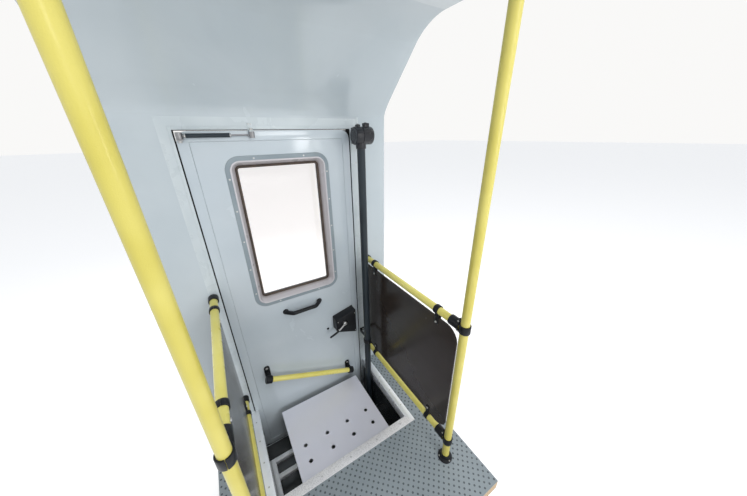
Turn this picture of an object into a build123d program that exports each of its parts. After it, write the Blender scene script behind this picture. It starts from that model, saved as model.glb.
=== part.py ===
"""Bus entrance bay: the slice of a passenger body round its hinged side door.

Millimetres. X runs along the side wall, Y points out of the body, Z points up. The
origin is the middle of the four chassis bolts, on the underside of the mounting plates.
"""

from build123d import *
import os
from math import atan, degrees

os.makedirs("parts", exist_ok=True)

# Floor and underframe
plate_thick = 10
beam_height = 80
beam_width = 60
board_thick = 57
covering_thick = 3
floor_inner_edge = -450
bolt_spacing_x = 980
bolt_spacing_y = 700
bolt_hole_radius = 7
mount_plate_side = 120
cross_beam_width = 50
beam_edge_setback = 20

# Walls and ceiling
bay_width = 1160
wall_inner = 550
wall_thick = 50
crease_rise = 33
cove_rise = 305
cove_depth = 310
cove_thick = 26
roof_thick = 50
ceiling_strip_edge = -320
cove_rib_thick = 20

# Door leaf and its frame, heights counted from the floor top
leaf_width = 730
leaf_top_height = 1572
leaf_bottom_depth = 355
door_gap = 10
jamb_width = 40
edge_profile_width = 40
seal_thick = 2.5
seal_setback = 4
lip_reach = 8.5
lip_width = 14
flap_width = 24
flap_thick = 4
flap_gap = 6
bulb_width = 10
gutter_height = 30
gutter_slope = 10
gutter_reach = 24
gutter_rise = 60
gutter_overhang = 40

# Window in the leaf
window_middle_x = 7.5
window_top_margin = 125
window_width = 416
window_height = 715
window_corner = 36
trim_border = 26
trim_thick = 3
sleeve_wall = 2
sleeve_depth = 38
sleeve_splay = 17
rubber_border = 27
rubber_thick = 2
glass_thick = 6
ring_clearance = 0.3

# Stairwell
well_middle_x = 20
well_width = 746
well_depth_y = 513
tray_wall = 3
tray_flange = 30
edging_sheet = 3
edging_side_width = 40
edging_front_width = 46
tread_middle_x = 36
tread_width = 528
tread_from_wall = 48
tread_length = 442
tread_sheet = 4
tread_drop = 60
tread_rim = 26
tread_hole_radius = 11
tread_hole_pitch_x = 130
tread_hole_pitch_y = 90
tread_hole_row = 315
tread_holes_across = 4
tread_holes_deep = 2
ladder_tube = 25
ladder_depth = 200
ladder_bar_rows = (200, 293)
ladder_width = 640

# Poles and guards
pole_radius = 18
pole_from_wall = 788
guard_spread = 840
flange_radius = 36
flange_thick = 8
ceiling_flange_drop = 14
rail_radius = 17
rail_heights = (841, 141)
tee_wall = 5
tee_length = 36
tee_reach = 72
socket_length = 38
clip_from_wall = 115
clip_from_pole = 148
clip_wall = 4
clip_length = 24
clip_tab = 85
clip_tab_width = 34
clip_tab_thick = 5
panel_thick = 6
panel_from_wall = 32
panel_from_pole = 26
panel_top_height = 803
panel_bottom_height = 175
panel_corner = 70
ring_fit = 0.2

# Grab post beside the door
post_radius = 20
post_x = 370
post_from_wall = 116
post_foot_thick = 6
post_foot_side = 70
head_radius = 40
head_length = 110
head_below_leaf_top = 29
head_grip = 2
head_arm_width = 34
head_arm_height = 50
tie_height = 290
tie_wall = 5
tie_width = 26

# Fittings on the leaf
handle_below_window = 97
handle_left = -88
handle_right = 110
handle_reach = 42
handle_leg = 10
handle_splay = 34
handle_bend = 14
handle_radius = 10
handle_foot_radius = 13
handle_foot_thick = 6
lock_left = 185
lock_right = 325
lock_left_heights = (395, 488)
lock_right_heights = (340, 522)
lock_depth = 60
lock_bevel = 8
lever_pivot = (238, 456)
lever_tip = (135, 395)
lever_radius = 5.5
lever_boss_radius = 12
lever_gap = 9
door_rail_radius = 15.5
door_rail_left = (-264, 256)
door_rail_right = (272, 16)
door_rail_out = 50
bracket_width = 26
bracket_foot_width = 52
bracket_wall = 5
outer_handle_height = 480
outer_handle_length = 130
outer_handle_reach = 34
outer_handle_thick = 8
outer_handle_width = 30

# Hinges
hinge_heights = (-250, 610, 1440)
hinge_length = 120
knuckle_radius = 8
knuckle_gap = 0.5
pin_radius = 4
pin_fit = 0.05
hinge_plate_thick = 4
hinge_plate_width = 34
hinge_plate_clear = 11
hinge_axis_out = 60
hinge_axis_beside = 3

# Door stay
stay_below_leaf_top = 17
stay_from_wall = 20
stay_leaf_x = -350
stay_frame_x = -96
stay_tube_radius = 8
stay_tube_start = 14
stay_tube_length = 161
stay_bore_depth = 125
stay_insertion = 60
rod_radius = 3.5
eye_radius = 11
eye_height = 24
stay_clear = 0.3
stay_tongue_thick = 4
stay_stand_off = 6
stay_web_rise = 20

# Levels and lines that follow from the sizes above
beam_bottom = plate_thick
board_bottom = beam_bottom + beam_height
covering_bottom = board_bottom + board_thick
floor_top = covering_bottom + covering_thick
half_bay = bay_width / 2
wall_outer = wall_inner + wall_thick
leaf_half = leaf_width / 2
leaf_top = floor_top + leaf_top_height
leaf_bottom = floor_top - leaf_bottom_depth
opening_half = leaf_half + door_gap
opening_top = leaf_top + door_gap
opening_bottom = leaf_bottom - door_gap
frame_half = opening_half + jamb_width
frame_top = opening_top + jamb_width
frame_bottom = opening_bottom - jamb_width
crease = frame_top + crease_rise
ceiling = crease + cove_rise
roof_top = ceiling + roof_thick
well_left = well_middle_x - well_width / 2
well_right = well_middle_x + well_width / 2
well_front = wall_inner - well_depth_y
tray_bottom = opening_bottom - tray_wall
pole_y = wall_inner - pole_from_wall
guard_left = well_middle_x - guard_spread / 2
guard_right = well_middle_x + guard_spread / 2
guard_lines = (guard_left, guard_right)
rail_levels = tuple(floor_top + height for height in rail_heights)
tread_top = floor_top - tread_drop
hinge_x = -leaf_half - hinge_axis_beside
hinge_y = wall_inner + hinge_axis_out
stay_level = leaf_top - stay_below_leaf_top
stay_y = wall_inner - stay_from_wall


def slab(x_span, y_span, z_span, mode=Mode.ADD):
    """A square-edged block between three pairs of limits."""
    middle = [sum(span) / 2 for span in (x_span, y_span, z_span)]
    sides = [span[1] - span[0] for span in (x_span, y_span, z_span)]
    with Locations(tuple(middle)):
        Box(*sides, mode=mode)


def rod_between(start, end, radius, mode=Mode.ADD):
    """A round bar from one point to another."""
    line = Vector(*end) - Vector(*start)
    plane = Plane(origin=Vector(*start) + line * 0.5, z_dir=line)
    with Locations(plane.location):
        Cylinder(radius, line.length, mode=mode)


def around(middle, width):
    """The pair of limits of something centred on a line."""
    return (middle - width / 2, middle + width / 2)


def save(piece, name):
    """Label a finished piece and write it as its own file."""
    piece.label = name
    export_step(piece, f"parts/{name}.step")


# Side wall, in the panels left and right of the door and the one above it
with BuildPart() as wall_left:
    slab((-half_bay, -frame_half), (wall_inner, wall_outer), (frame_bottom, frame_top))
save(wall_left.part, "wall_left")

with BuildPart() as wall_right:
    slab((frame_half, half_bay), (wall_inner, wall_outer), (frame_bottom, frame_top))
save(wall_right.part, "wall_right")

with BuildPart() as wall_header:
    slab((-half_bay, half_bay), (wall_inner, wall_outer), (frame_top, roof_top))
save(wall_header.part, "wall_header")

# Slanted cove between the wall and the ceiling
cove_inner = wall_inner - cove_depth
with BuildPart() as cove_panel:
    with BuildSketch(Plane.YZ.offset(-half_bay)):
        with BuildLine():
            Polyline(
                (wall_inner, crease),
                (cove_inner, ceiling),
                (cove_inner + cove_thick, ceiling),
                (wall_inner, crease + cove_thick),
                close=True,
            )
        make_face()
    extrude(amount=bay_width)
save(cove_panel.part, "cove_panel")

# Ribs that carry the cove panel behind
rib_stations = (-half_bay, -cove_rib_thick / 2, half_bay - cove_rib_thick)
with BuildPart() as cove_ribs:
    for station in rib_stations:
        with BuildSketch(Plane.YZ.offset(station)):
            with BuildLine():
                Polyline(
                    (wall_inner, crease + cove_thick),
                    (cove_inner + cove_thick, ceiling),
                    (wall_inner, ceiling),
                    close=True,
                )
            make_face()
        extrude(amount=cove_rib_thick)
save(cove_ribs.part, "cove_ribs")

with BuildPart() as ceiling_panel:
    slab((-half_bay, half_bay), (ceiling_strip_edge, wall_inner), (ceiling, roof_top))
save(ceiling_panel.part, "ceiling_panel")

# Door frame
with BuildPart() as door_frame_jambs:
    for side in (-1, 1):
        limits = sorted((side * opening_half, side * frame_half))
        slab(limits, (wall_inner, wall_outer), (frame_bottom, frame_top))
save(door_frame_jambs.part, "door_frame_jambs")

with BuildPart() as door_frame_header:
    slab((-opening_half, opening_half), (wall_inner, wall_outer), (opening_top, frame_top))
save(door_frame_header.part, "door_frame_header")

with BuildPart() as door_frame_sill:
    slab((-opening_half, opening_half), (wall_inner, wall_outer), (frame_bottom, opening_bottom))
save(door_frame_sill.part, "door_frame_sill")

# Rubber lining of the frame with a lip that closes the gap to the leaf
seal_y = (wall_inner + seal_setback, wall_outer - seal_setback)
lip_y = around((wall_inner + wall_outer) / 2, lip_width)
opening_z = (opening_bottom, opening_top)
with BuildPart() as door_seal:
    slab((-opening_half, opening_half), seal_y, opening_z)
    slab((-opening_half + seal_thick, opening_half - seal_thick), (wall_inner, wall_outer),
         (opening_bottom + seal_thick, opening_top - seal_thick), mode=Mode.SUBTRACT)
    slab((-opening_half, -opening_half + lip_reach), lip_y, opening_z)
    slab((-opening_half, opening_half), lip_y, (opening_top - lip_reach, opening_top))
    slab((-opening_half, opening_half), lip_y, (opening_bottom, opening_bottom + lip_reach))
save(door_seal.part, "door_seal")

# Bulb that the leaf's flap closes on
bulb_y = (wall_outer, wall_outer + flap_gap - ring_clearance)
with BuildPart() as flap_seal:
    slab((opening_half, opening_half + bulb_width), bulb_y, (opening_bottom, opening_top))
    slab((-leaf_half, opening_half), bulb_y, (opening_top, opening_top + bulb_width))
save(flap_seal.part, "flap_seal")

# Gutter over the door
with BuildPart() as rain_gutter:
    with BuildSketch(Plane.YZ.offset(-frame_half - gutter_overhang)):
        with BuildLine():
            Polyline(
                (wall_outer, frame_top + gutter_rise),
                (wall_outer + gutter_reach, frame_top + gutter_rise - gutter_slope),
                (wall_outer + gutter_reach, frame_top + gutter_rise),
                (wall_outer, frame_top + gutter_rise + gutter_height),
                close=True,
            )
        make_face()
    extrude(amount=2 * (frame_half + gutter_overhang))
save(rain_gutter.part, "rain_gutter")

# Floor: one board inward of the stairwell, one either side of it
with BuildPart() as floor_main_board:
    slab((-half_bay, half_bay), (floor_inner_edge, well_front), (board_bottom, covering_bottom))
save(floor_main_board.part, "floor_main_board")

with BuildPart() as floor_side_boards:
    slab((-half_bay, well_left), (well_front, wall_inner), (board_bottom, covering_bottom))
    slab((well_right, half_bay), (well_front, wall_inner), (board_bottom, covering_bottom))
save(floor_side_boards.part, "floor_side_boards")

with BuildPart() as floor_covering:
    slab((-half_bay, half_bay), (floor_inner_edge, wall_inner), (covering_bottom, floor_top))
    slab((well_left, well_right), (well_front, wall_inner), (covering_bottom, floor_top),
         mode=Mode.SUBTRACT)
save(floor_covering.part, "floor_covering")

# Underframe
beam_lines = (-bolt_spacing_x / 2, bolt_spacing_x / 2)
bolt_rows = (-bolt_spacing_y / 2, bolt_spacing_y / 2)
beam_z = (beam_bottom, board_bottom)
with BuildPart() as long_beams:
    for line in beam_lines:
        slab(around(line, beam_width), (floor_inner_edge, wall_inner), beam_z)
save(long_beams.part, "long_beams")

cross_rows = (floor_inner_edge + beam_edge_setback + cross_beam_width / 2,
              well_front - beam_edge_setback - cross_beam_width / 2)
with BuildPart() as cross_beams:
    for row in cross_rows:
        slab((beam_lines[0] + beam_width / 2, beam_lines[1] - beam_width / 2),
             around(row, cross_beam_width), beam_z)
save(cross_beams.part, "cross_beams")

with BuildPart() as mount_plates:
    for line in beam_lines:
        for row in bolt_rows:
            slab(around(line, mount_plate_side), around(row, mount_plate_side), (0, plate_thick))
            with Locations((line, row, plate_thick / 2)):
                Cylinder(bolt_hole_radius, 2 * plate_thick, mode=Mode.SUBTRACT)
save(mount_plates.part, "mount_plates")

# Stairwell tray, hung under the boards and open to the door
tray_top = board_bottom
tray_inner_left = well_left + tray_wall
tray_inner_right = well_right - tray_wall
with BuildPart() as stairwell_tray:
    slab((well_left, well_right), (well_front, wall_inner), (tray_bottom, tray_top))
    slab((tray_inner_left, tray_inner_right), (well_front + tray_wall, wall_inner),
         (opening_bottom, tray_top), mode=Mode.SUBTRACT)
    flange_z = (tray_top - tray_wall, tray_top)
    slab((well_left - tray_flange, well_left), (well_front, wall_inner), flange_z)
    slab((well_right, well_right + tray_flange), (well_front, wall_inner), flange_z)
save(stairwell_tray.part, "stairwell_tray")

# Aluminium edging round the stairwell
edge_top = floor_top + edging_sheet
front_edge_y = (well_front - edging_front_width + edging_sheet, well_front + edging_sheet)
with BuildPart() as edging_front:
    slab((well_left - edging_side_width + edging_sheet,
          well_right + edging_side_width - edging_sheet), front_edge_y, (floor_top, edge_top))
    slab((tray_inner_left, tray_inner_right), (well_front, well_front + edging_sheet),
         (tray_top, floor_top))
save(edging_front.part, "edging_front")

with BuildPart() as edging_sides:
    for side, wall_line in ((-1, well_left), (1, well_right)):
        leg = sorted((wall_line, wall_line - side * edging_sheet))
        top = sorted((wall_line - side * edging_sheet,
                      wall_line + side * (edging_side_width - edging_sheet)))
        slab(top, (well_front + edging_sheet, wall_inner), (floor_top, edge_top))
        slab(leg, (well_front + edging_sheet, wall_inner), (tray_top, floor_top))
save(edging_sides.part, "edging_sides")

# Ladder frame that stands in the well and carries the tread
ladder_left = tray_inner_left
ladder_right = ladder_left + ladder_width
ladder_top = floor_top - ladder_depth
ladder_front = well_front + tray_wall
ladder_z = (ladder_top - ladder_tube, ladder_top)
stringers = ((ladder_left, ladder_left + ladder_tube), (ladder_right - ladder_tube, ladder_right))
post_rows = (ladder_front, wall_inner - ladder_bar_rows[0] - ladder_tube)
carrier_lines = (tread_middle_x - tread_width / 2 + tread_rim,
                 tread_middle_x + tread_width / 2 - tread_rim - ladder_tube)
with BuildPart() as ladder_frame:
    for stringer in stringers:
        slab(stringer, (ladder_front, wall_inner - ladder_bar_rows[0]), ladder_z)
        for row in post_rows:
            slab(stringer, (row, row + ladder_tube), (opening_bottom, ladder_top))
    for row in ladder_bar_rows:
        slab((ladder_left, ladder_right), (wall_inner - row - ladder_tube, wall_inner - row),
             ladder_z)
save(ladder_frame.part, "ladder_frame")

with BuildPart() as tread_carriers:
    for line in carrier_lines:
        for row in ladder_bar_rows:
            slab((line, line + ladder_tube), (wall_inner - row - ladder_tube, wall_inner - row),
                 (ladder_top, tread_top - tread_sheet))
save(tread_carriers.part, "tread_carriers")

tread_x = around(tread_middle_x, tread_width)
tread_y = (wall_inner - tread_from_wall - tread_length, wall_inner - tread_from_wall)
tread_hole_y = wall_inner - tread_hole_row - tread_hole_pitch_y / 2
with BuildPart() as step_tread:
    slab(tread_x, tread_y, (tread_top - tread_rim, tread_top))
    slab((tread_x[0] + tread_sheet, tread_x[1] - tread_sheet),
         (tread_y[0] + tread_sheet, tread_y[1] - tread_sheet),
         (tread_top - tread_rim, tread_top - tread_sheet), mode=Mode.SUBTRACT)
    with Locations((tread_middle_x, tread_hole_y, tread_top)):
        with GridLocations(tread_hole_pitch_x, tread_hole_pitch_y,
                           tread_holes_across, tread_holes_deep):
            Cylinder(tread_hole_radius, 2 * tread_rim, mode=Mode.SUBTRACT)
save(step_tread.part, "step_tread")

# Floor-to-ceiling poles with a flange at each end
with BuildPart() as poles:
    for line in guard_lines:
        rod_between((line, pole_y, floor_top), (line, pole_y, ceiling), pole_radius)
save(poles.part, "poles")

flange_bore = pole_radius + ring_fit
with BuildPart() as pole_floor_flanges:
    for line in guard_lines:
        with Locations((line, pole_y, floor_top + flange_thick / 2)):
            Cylinder(flange_radius, flange_thick)
            Cylinder(flange_bore, 2 * flange_thick, mode=Mode.SUBTRACT)
save(pole_floor_flanges.part, "pole_floor_flanges")

with BuildPart() as pole_ceiling_flanges:
    for line in guard_lines:
        with Locations((line, pole_y, ceiling - ceiling_flange_drop / 2)):
            Cylinder(flange_radius, ceiling_flange_drop)
            Cylinder(flange_bore, 2 * ceiling_flange_drop, mode=Mode.SUBTRACT)
save(pole_ceiling_flanges.part, "pole_ceiling_flanges")

# Guard rails between each pole and the wall
tee_bore = pole_radius + ring_fit
tee_outer = tee_bore + tee_wall
socket_outer = rail_radius + ring_fit + tee_wall
rail_bore = rail_radius + ring_fit
rail_start = pole_y + tee_outer
rail_names = ("guard_top_rails", "guard_low_rails")
for rail_name, level in zip(rail_names, rail_levels):
    with BuildPart() as guard_rails:
        for line in guard_lines:
            rod_between((line, rail_start, level), (line, wall_inner, level), rail_radius)
    save(guard_rails.part, rail_name)

with BuildPart() as wall_sockets:
    for line in guard_lines:
        for level in rail_levels:
            rod_between((line, wall_inner - socket_length, level), (line, wall_inner, level),
                        socket_outer)
            rod_between((line, wall_inner - 2 * socket_length, level),
                        (line, wall_inner + socket_length, level), rail_bore, Mode.SUBTRACT)
save(wall_sockets.part, "wall_sockets")

with BuildPart() as rail_tees:
    for line in guard_lines:
        for level in rail_levels:
            rod_between((line, pole_y, level - tee_length / 2),
                        (line, pole_y, level + tee_length / 2), tee_outer)
            rod_between((line, pole_y, level), (line, pole_y + tee_reach, level), socket_outer)
            rod_between((line, rail_start, level), (line, pole_y + 2 * tee_reach, level),
                        rail_bore, Mode.SUBTRACT)
            rod_between((line, pole_y, level - tee_length), (line, pole_y, level + tee_length),
                        tee_bore, Mode.SUBTRACT)
save(rail_tees.part, "rail_tees")

# Clips that hold each guard panel to its two rails
panel_bottom = floor_top + panel_bottom_height
panel_top = floor_top + panel_top_height
clip_outer = rail_bore + clip_wall
tab_inside = panel_thick / 2
tab_outside = tab_inside + clip_tab_thick
clip_rows = (wall_inner - clip_from_wall, pole_y + clip_from_pole)
with BuildPart() as panel_clips:
    for line in guard_lines:
        for level, towards in zip(rail_levels, (-1, 1)):
            for row in clip_rows:
                rod_between((line, row - clip_length / 2, level),
                            (line, row + clip_length / 2, level), clip_outer)
                rod_between((line, row - clip_length, level), (line, row + clip_length, level),
                            rail_bore, Mode.SUBTRACT)
                tab_z = sorted((level + towards * rail_bore, level + towards * clip_tab))
                slab((line + tab_inside, line + tab_outside), around(row, clip_tab_width), tab_z)
save(panel_clips.part, "panel_clips")

with BuildPart() as guard_panels:
    for line in guard_lines:
        with BuildSketch(Plane.YZ.offset(line - panel_thick / 2)):
            low = pole_y + panel_from_pole
            high = wall_inner - panel_from_wall
            with BuildLine():
                Polyline((low + panel_corner, panel_top), (high, panel_top),
                         (high, panel_bottom), (low + panel_corner, panel_bottom))
                RadiusArc((low + panel_corner, panel_bottom), (low, panel_bottom + panel_corner),
                          panel_corner)
                Line((low, panel_bottom + panel_corner), (low, panel_top - panel_corner))
                RadiusArc((low, panel_top - panel_corner), (low + panel_corner, panel_top),
                          panel_corner)
            make_face()
        extrude(amount=panel_thick)
save(guard_panels.part, "guard_panels")

# Grab post that stands in the well beside the lock side of the door
post_y = wall_inner - post_from_wall
head_level = leaf_top - head_below_leaf_top
post_top = head_level + head_grip
post_base = opening_bottom + post_foot_thick
with BuildPart() as grab_post:
    rod_between((post_x, post_y, post_base), (post_x, post_y, post_top), post_radius)
save(grab_post.part, "grab_post")

with BuildPart() as post_foot:
    slab((tray_inner_right - post_foot_side, tray_inner_right), around(post_y, post_foot_side),
         (opening_bottom, post_base))
save(post_foot.part, "post_foot")

head_face = post_y + head_radius / 2
arm_x = around((opening_half + frame_half) / 2, head_arm_width)
with BuildPart() as post_head:
    rod_between((post_x - head_length / 2, post_y, head_level),
                (post_x + head_length / 2, post_y, head_level), head_radius)
    slab(arm_x, (head_face, wall_inner), around(head_level, head_arm_height))
    rod_between((post_x, post_y, head_level - 2 * head_radius), (post_x, post_y, post_top),
                post_radius + ring_fit, Mode.SUBTRACT)
save(post_head.part, "post_head")

tie_level = floor_top + tie_height
tie_outer = post_radius + ring_fit + tie_wall
with BuildPart() as post_tie:
    rod_between((post_x, post_y, tie_level - tie_width / 2),
                (post_x, post_y, tie_level + tie_width / 2), tie_outer)
    slab((opening_half, opening_half + tie_wall), (post_y, wall_inner),
         around(tie_level, tie_width))
    slab((opening_half, frame_half), (wall_inner - tie_wall, wall_inner),
         around(tie_level, tie_width))
    rod_between((post_x, post_y, tie_level - tie_width), (post_x, post_y, tie_level + tie_width),
                post_radius + ring_fit, Mode.SUBTRACT)
save(post_tie.part, "post_tie")

# Door leaf: a window panel inside aluminium edge profiles
panel_half = leaf_half - edge_profile_width
leaf_y = (wall_inner, wall_outer)
window_middle = leaf_top - window_top_margin - window_height / 2
cut_width = window_width + 2 * (sleeve_wall + ring_clearance)
cut_height = window_height + 2 * (sleeve_wall + ring_clearance)
cut_corner = window_corner + sleeve_wall + ring_clearance


def window_ring(y_span, outer, outer_corner, inner=None, inner_corner=None, splay=0):
    """A rounded frame or pane across the window, between two distances in Y."""
    face = Plane(origin=(window_middle_x, y_span[0], window_middle), x_dir=(1, 0, 0),
                 z_dir=(0, 1, 0))
    thick = y_span[1] - y_span[0]
    with BuildPart() as ring:
        with BuildSketch(face):
            RectangleRounded(*outer, outer_corner)
        extrude(amount=thick)
        if inner:
            with BuildSketch(face):
                RectangleRounded(*inner, inner_corner)
            extrude(amount=thick, taper=degrees(atan(splay / thick)), mode=Mode.SUBTRACT)
    return ring.part


def grown(border):
    """Width and height of the window's clear opening with a border all round."""
    return (window_width + 2 * border, window_height + 2 * border)


window_cut = window_ring(leaf_y, (cut_width, cut_height), cut_corner)
with BuildPart() as door_leaf:
    slab((-panel_half, panel_half), leaf_y,
         (leaf_bottom + edge_profile_width, leaf_top - edge_profile_width))
    add(window_cut, mode=Mode.SUBTRACT)
save(door_leaf.part, "door_leaf")

with BuildPart() as door_side_profiles:
    for side in (-1, 1):
        slab(sorted((side * panel_half, side * leaf_half)), leaf_y, (leaf_bottom, leaf_top))
save(door_side_profiles.part, "door_side_profiles")

with BuildPart() as door_end_profiles:
    slab((-panel_half, panel_half), leaf_y, (leaf_top - edge_profile_width, leaf_top))
    slab((-panel_half, panel_half), leaf_y, (leaf_bottom, leaf_bottom + edge_profile_width))
save(door_end_profiles.part, "door_end_profiles")

# Flap on the leaf's outside that closes on the bulb seal
flap_y = (wall_outer + flap_gap, wall_outer + flap_gap + flap_thick)
flap_reach = door_gap + flap_width
with BuildPart() as door_flap:
    slab((leaf_half - flap_width, leaf_half + flap_reach), flap_y, (leaf_bottom, leaf_top))
    slab((leaf_half - flap_width, leaf_half - ring_clearance), (wall_outer, flap_y[0]),
         (leaf_bottom, leaf_top))
save(door_flap.part, "door_flap")

# Window trims, rubber and glass, stacked from the inside to the outside
rubber_y = wall_inner + sleeve_depth
glass_y = rubber_y + rubber_thick
sleeve_corner = window_corner + sleeve_wall
sight_corner = window_corner - rubber_border
inner_flange = window_ring((wall_inner - trim_thick, wall_inner), grown(trim_border),
                           window_corner + trim_border, grown(0), window_corner)
inner_sleeve = window_ring((wall_inner, rubber_y), grown(sleeve_wall), sleeve_corner,
                           grown(0), window_corner, sleeve_splay)
with BuildPart() as window_inner_trim:
    add(inner_flange)
    add(inner_sleeve)
save(window_inner_trim.part, "window_inner_trim")

rubber_frame = window_ring((rubber_y, glass_y), grown(sleeve_wall), sleeve_corner,
                           grown(-rubber_border), sight_corner)
with BuildPart() as window_rubber:
    add(rubber_frame)
save(window_rubber.part, "window_rubber")

pane = window_ring((glass_y, glass_y + glass_thick), grown(sleeve_wall), sleeve_corner)
with BuildPart() as window_glass:
    add(pane)
save(window_glass.part, "window_glass")

outer_sleeve = window_ring((glass_y + glass_thick, wall_outer), grown(sleeve_wall),
                           sleeve_corner, grown(-rubber_border), sight_corner)
outer_flange = window_ring((wall_outer, wall_outer + trim_thick), grown(trim_border),
                           window_corner + trim_border, grown(-rubber_border), sight_corner)
with BuildPart() as window_outer_trim:
    add(outer_sleeve)
    add(outer_flange)
save(window_outer_trim.part, "window_outer_trim")

# Bow handle inside the leaf
handle_level = window_middle - window_height / 2 - handle_below_window
handle_bar_y = wall_inner - handle_reach
with BuildPart() as pull_handle:
    with BuildLine(Plane.XY.offset(handle_level)) as handle_path:
        FilletPolyline(
            (handle_left, wall_inner),
            (handle_left, wall_inner - handle_leg),
            (handle_left + handle_splay, handle_bar_y),
            (handle_right - handle_splay, handle_bar_y),
            (handle_right, wall_inner - handle_leg),
            (handle_right, wall_inner),
            radius=handle_bend,
        )
    with BuildSketch(Plane(origin=(handle_left, wall_inner, handle_level), z_dir=(0, -1, 0))):
        Circle(handle_radius)
    sweep(path=handle_path.line)
    for foot in (handle_left, handle_right):
        rod_between((foot, wall_inner - handle_foot_thick, handle_level),
                    (foot, wall_inner, handle_level), handle_foot_radius)
save(pull_handle.part, "pull_handle")

# Lock case, taller on the lock side and bevelled round its face, and its lever
lock_y = (wall_inner - lock_depth, wall_inner)
lock_face = Plane(origin=(0, wall_inner, floor_top), x_dir=(1, 0, 0), z_dir=(0, -1, 0))
with BuildPart() as lock_case:
    with BuildSketch(lock_face):
        with BuildLine():
            Polyline(
                (lock_left, lock_left_heights[0]),
                (lock_left, lock_left_heights[1]),
                (lock_right, lock_right_heights[1]),
                (lock_right, lock_right_heights[0]),
                close=True,
            )
        make_face()
    extrude(amount=lock_depth)
    chamfer(faces().sort_by(Axis.Y)[0].edges(), lock_bevel)
save(lock_case.part, "lock_case")

pivot_level = floor_top + lever_pivot[1]
tip_level = floor_top + lever_tip[1]
lever_y = lock_y[0] - lever_gap - lever_radius
with BuildPart() as lock_lever:
    rod_between((lever_pivot[0], lever_y, pivot_level), (lever_tip[0], lever_y, tip_level),
                lever_radius)
    rod_between((lever_pivot[0], lever_y - lever_radius, pivot_level),
                (lever_pivot[0], lock_y[0], pivot_level), lever_boss_radius)
save(lock_lever.part, "lock_lever")

# Slanted rail across the leaf, in two brackets
door_rail_y = wall_inner - door_rail_out
rail_a = (door_rail_left[0], door_rail_y, floor_top + door_rail_left[1])
rail_b = (door_rail_right[0], door_rail_y, floor_top + door_rail_right[1])
rail_line = (Vector(*rail_b) - Vector(*rail_a)).normalized()
with BuildPart() as door_rail:
    rod_between(rail_a, rail_b, door_rail_radius)
save(door_rail.part, "door_rail")

bracket_ring = door_rail_radius + ring_fit
with BuildPart() as door_rail_brackets:
    for end, inward in ((rail_a, 1), (rail_b, -1)):
        near = Vector(*end) - rail_line * (inward * bracket_wall)
        far = Vector(*end) + rail_line * (inward * bracket_width)
        rod_between(tuple(near), tuple(far), bracket_ring + bracket_wall)
        stem_x = end[0] + inward * bracket_width / 2
        slab(around(stem_x, bracket_width), (door_rail_y, wall_inner),
             (end[2] - bracket_ring, end[2] + bracket_ring))
        slab(around(stem_x, bracket_width), (wall_inner - bracket_wall, wall_inner),
             (end[2] - bracket_ring, end[2] + bracket_foot_width))
    rod_between(rail_a, rail_b, bracket_ring, Mode.SUBTRACT)
save(door_rail_brackets.part, "door_rail_brackets")

# Handle outside the leaf
outer_handle_level = floor_top + outer_handle_height
outer_handle_x = (lock_left + lock_right) / 2
with BuildPart() as outer_handle:
    slab(around(outer_handle_x, outer_handle_length),
         (wall_outer + outer_handle_reach - outer_handle_thick, wall_outer + outer_handle_reach),
         around(outer_handle_level, outer_handle_width))
    for side in (-1, 1):
        foot = outer_handle_x + side * (outer_handle_length - outer_handle_width) / 2
        slab(around(foot, outer_handle_width), (wall_outer, wall_outer + outer_handle_reach),
             around(outer_handle_level, outer_handle_width))
save(outer_handle.part, "outer_handle")

# Hinges outside, the pins fixed in the leaf's knuckles
knuckle_third = hinge_length / 3
plate_y = (wall_outer, wall_outer + hinge_plate_thick)
frame_plate_x = (hinge_x - hinge_plate_clear - hinge_plate_width, hinge_x - hinge_plate_clear)
door_plate_x = (hinge_x + hinge_plate_clear, hinge_x + hinge_plate_clear + hinge_plate_width)
with BuildPart() as hinge_frame_leaves:
    for height in hinge_heights:
        level = floor_top + height
        slab(frame_plate_x, plate_y, around(level, hinge_length))
        for third in (-1, 1):
            knuckle = sorted((level + third * (knuckle_third / 2 + knuckle_gap),
                              level + third * hinge_length / 2))
            slab((hinge_x - hinge_plate_clear, hinge_x), plate_y, knuckle)
            rod_between((hinge_x, hinge_y, knuckle[0]), (hinge_x, hinge_y, knuckle[1]),
                        knuckle_radius)
        rod_between((hinge_x, hinge_y, level - hinge_length),
                    (hinge_x, hinge_y, level + hinge_length), pin_radius + pin_fit, Mode.SUBTRACT)
save(hinge_frame_leaves.part, "hinge_frame_leaves")

with BuildPart() as hinge_door_leaves:
    for height in hinge_heights:
        level = floor_top + height
        knuckle = around(level, knuckle_third)
        slab(door_plate_x, plate_y, around(level, hinge_length))
        slab((hinge_x, hinge_x + hinge_plate_clear), plate_y, knuckle)
        rod_between((hinge_x, hinge_y, knuckle[0]), (hinge_x, hinge_y, knuckle[1]), knuckle_radius)
        rod_between((hinge_x, hinge_y, level - hinge_length / 2),
                    (hinge_x, hinge_y, level + hinge_length / 2), pin_radius)
save(hinge_door_leaves.part, "hinge_door_leaves")

# Gas stay: the tube pivots on the leaf beside the hinges, the rod's eye on the header
stay_low = stay_level - eye_height / 2
stay_high = stay_level + eye_height / 2
stay_tongue_x = around(stay_leaf_x, 2 * eye_radius)
with BuildPart() as stay_leaf_bracket:
    tongue_z = (stay_low - stay_clear - stay_tongue_thick, stay_low - stay_clear)
    slab(stay_tongue_x, (stay_y - eye_radius, wall_inner), tongue_z)
    slab(stay_tongue_x, (wall_inner - stay_tongue_thick, wall_inner),
         (tongue_z[0], tongue_z[1] + 2 * eye_radius))
    rod_between((stay_leaf_x, stay_y, tongue_z[0]), (stay_leaf_x, stay_y, stay_high + stay_clear),
                pin_radius)
save(stay_leaf_bracket.part, "stay_leaf_bracket")

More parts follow.
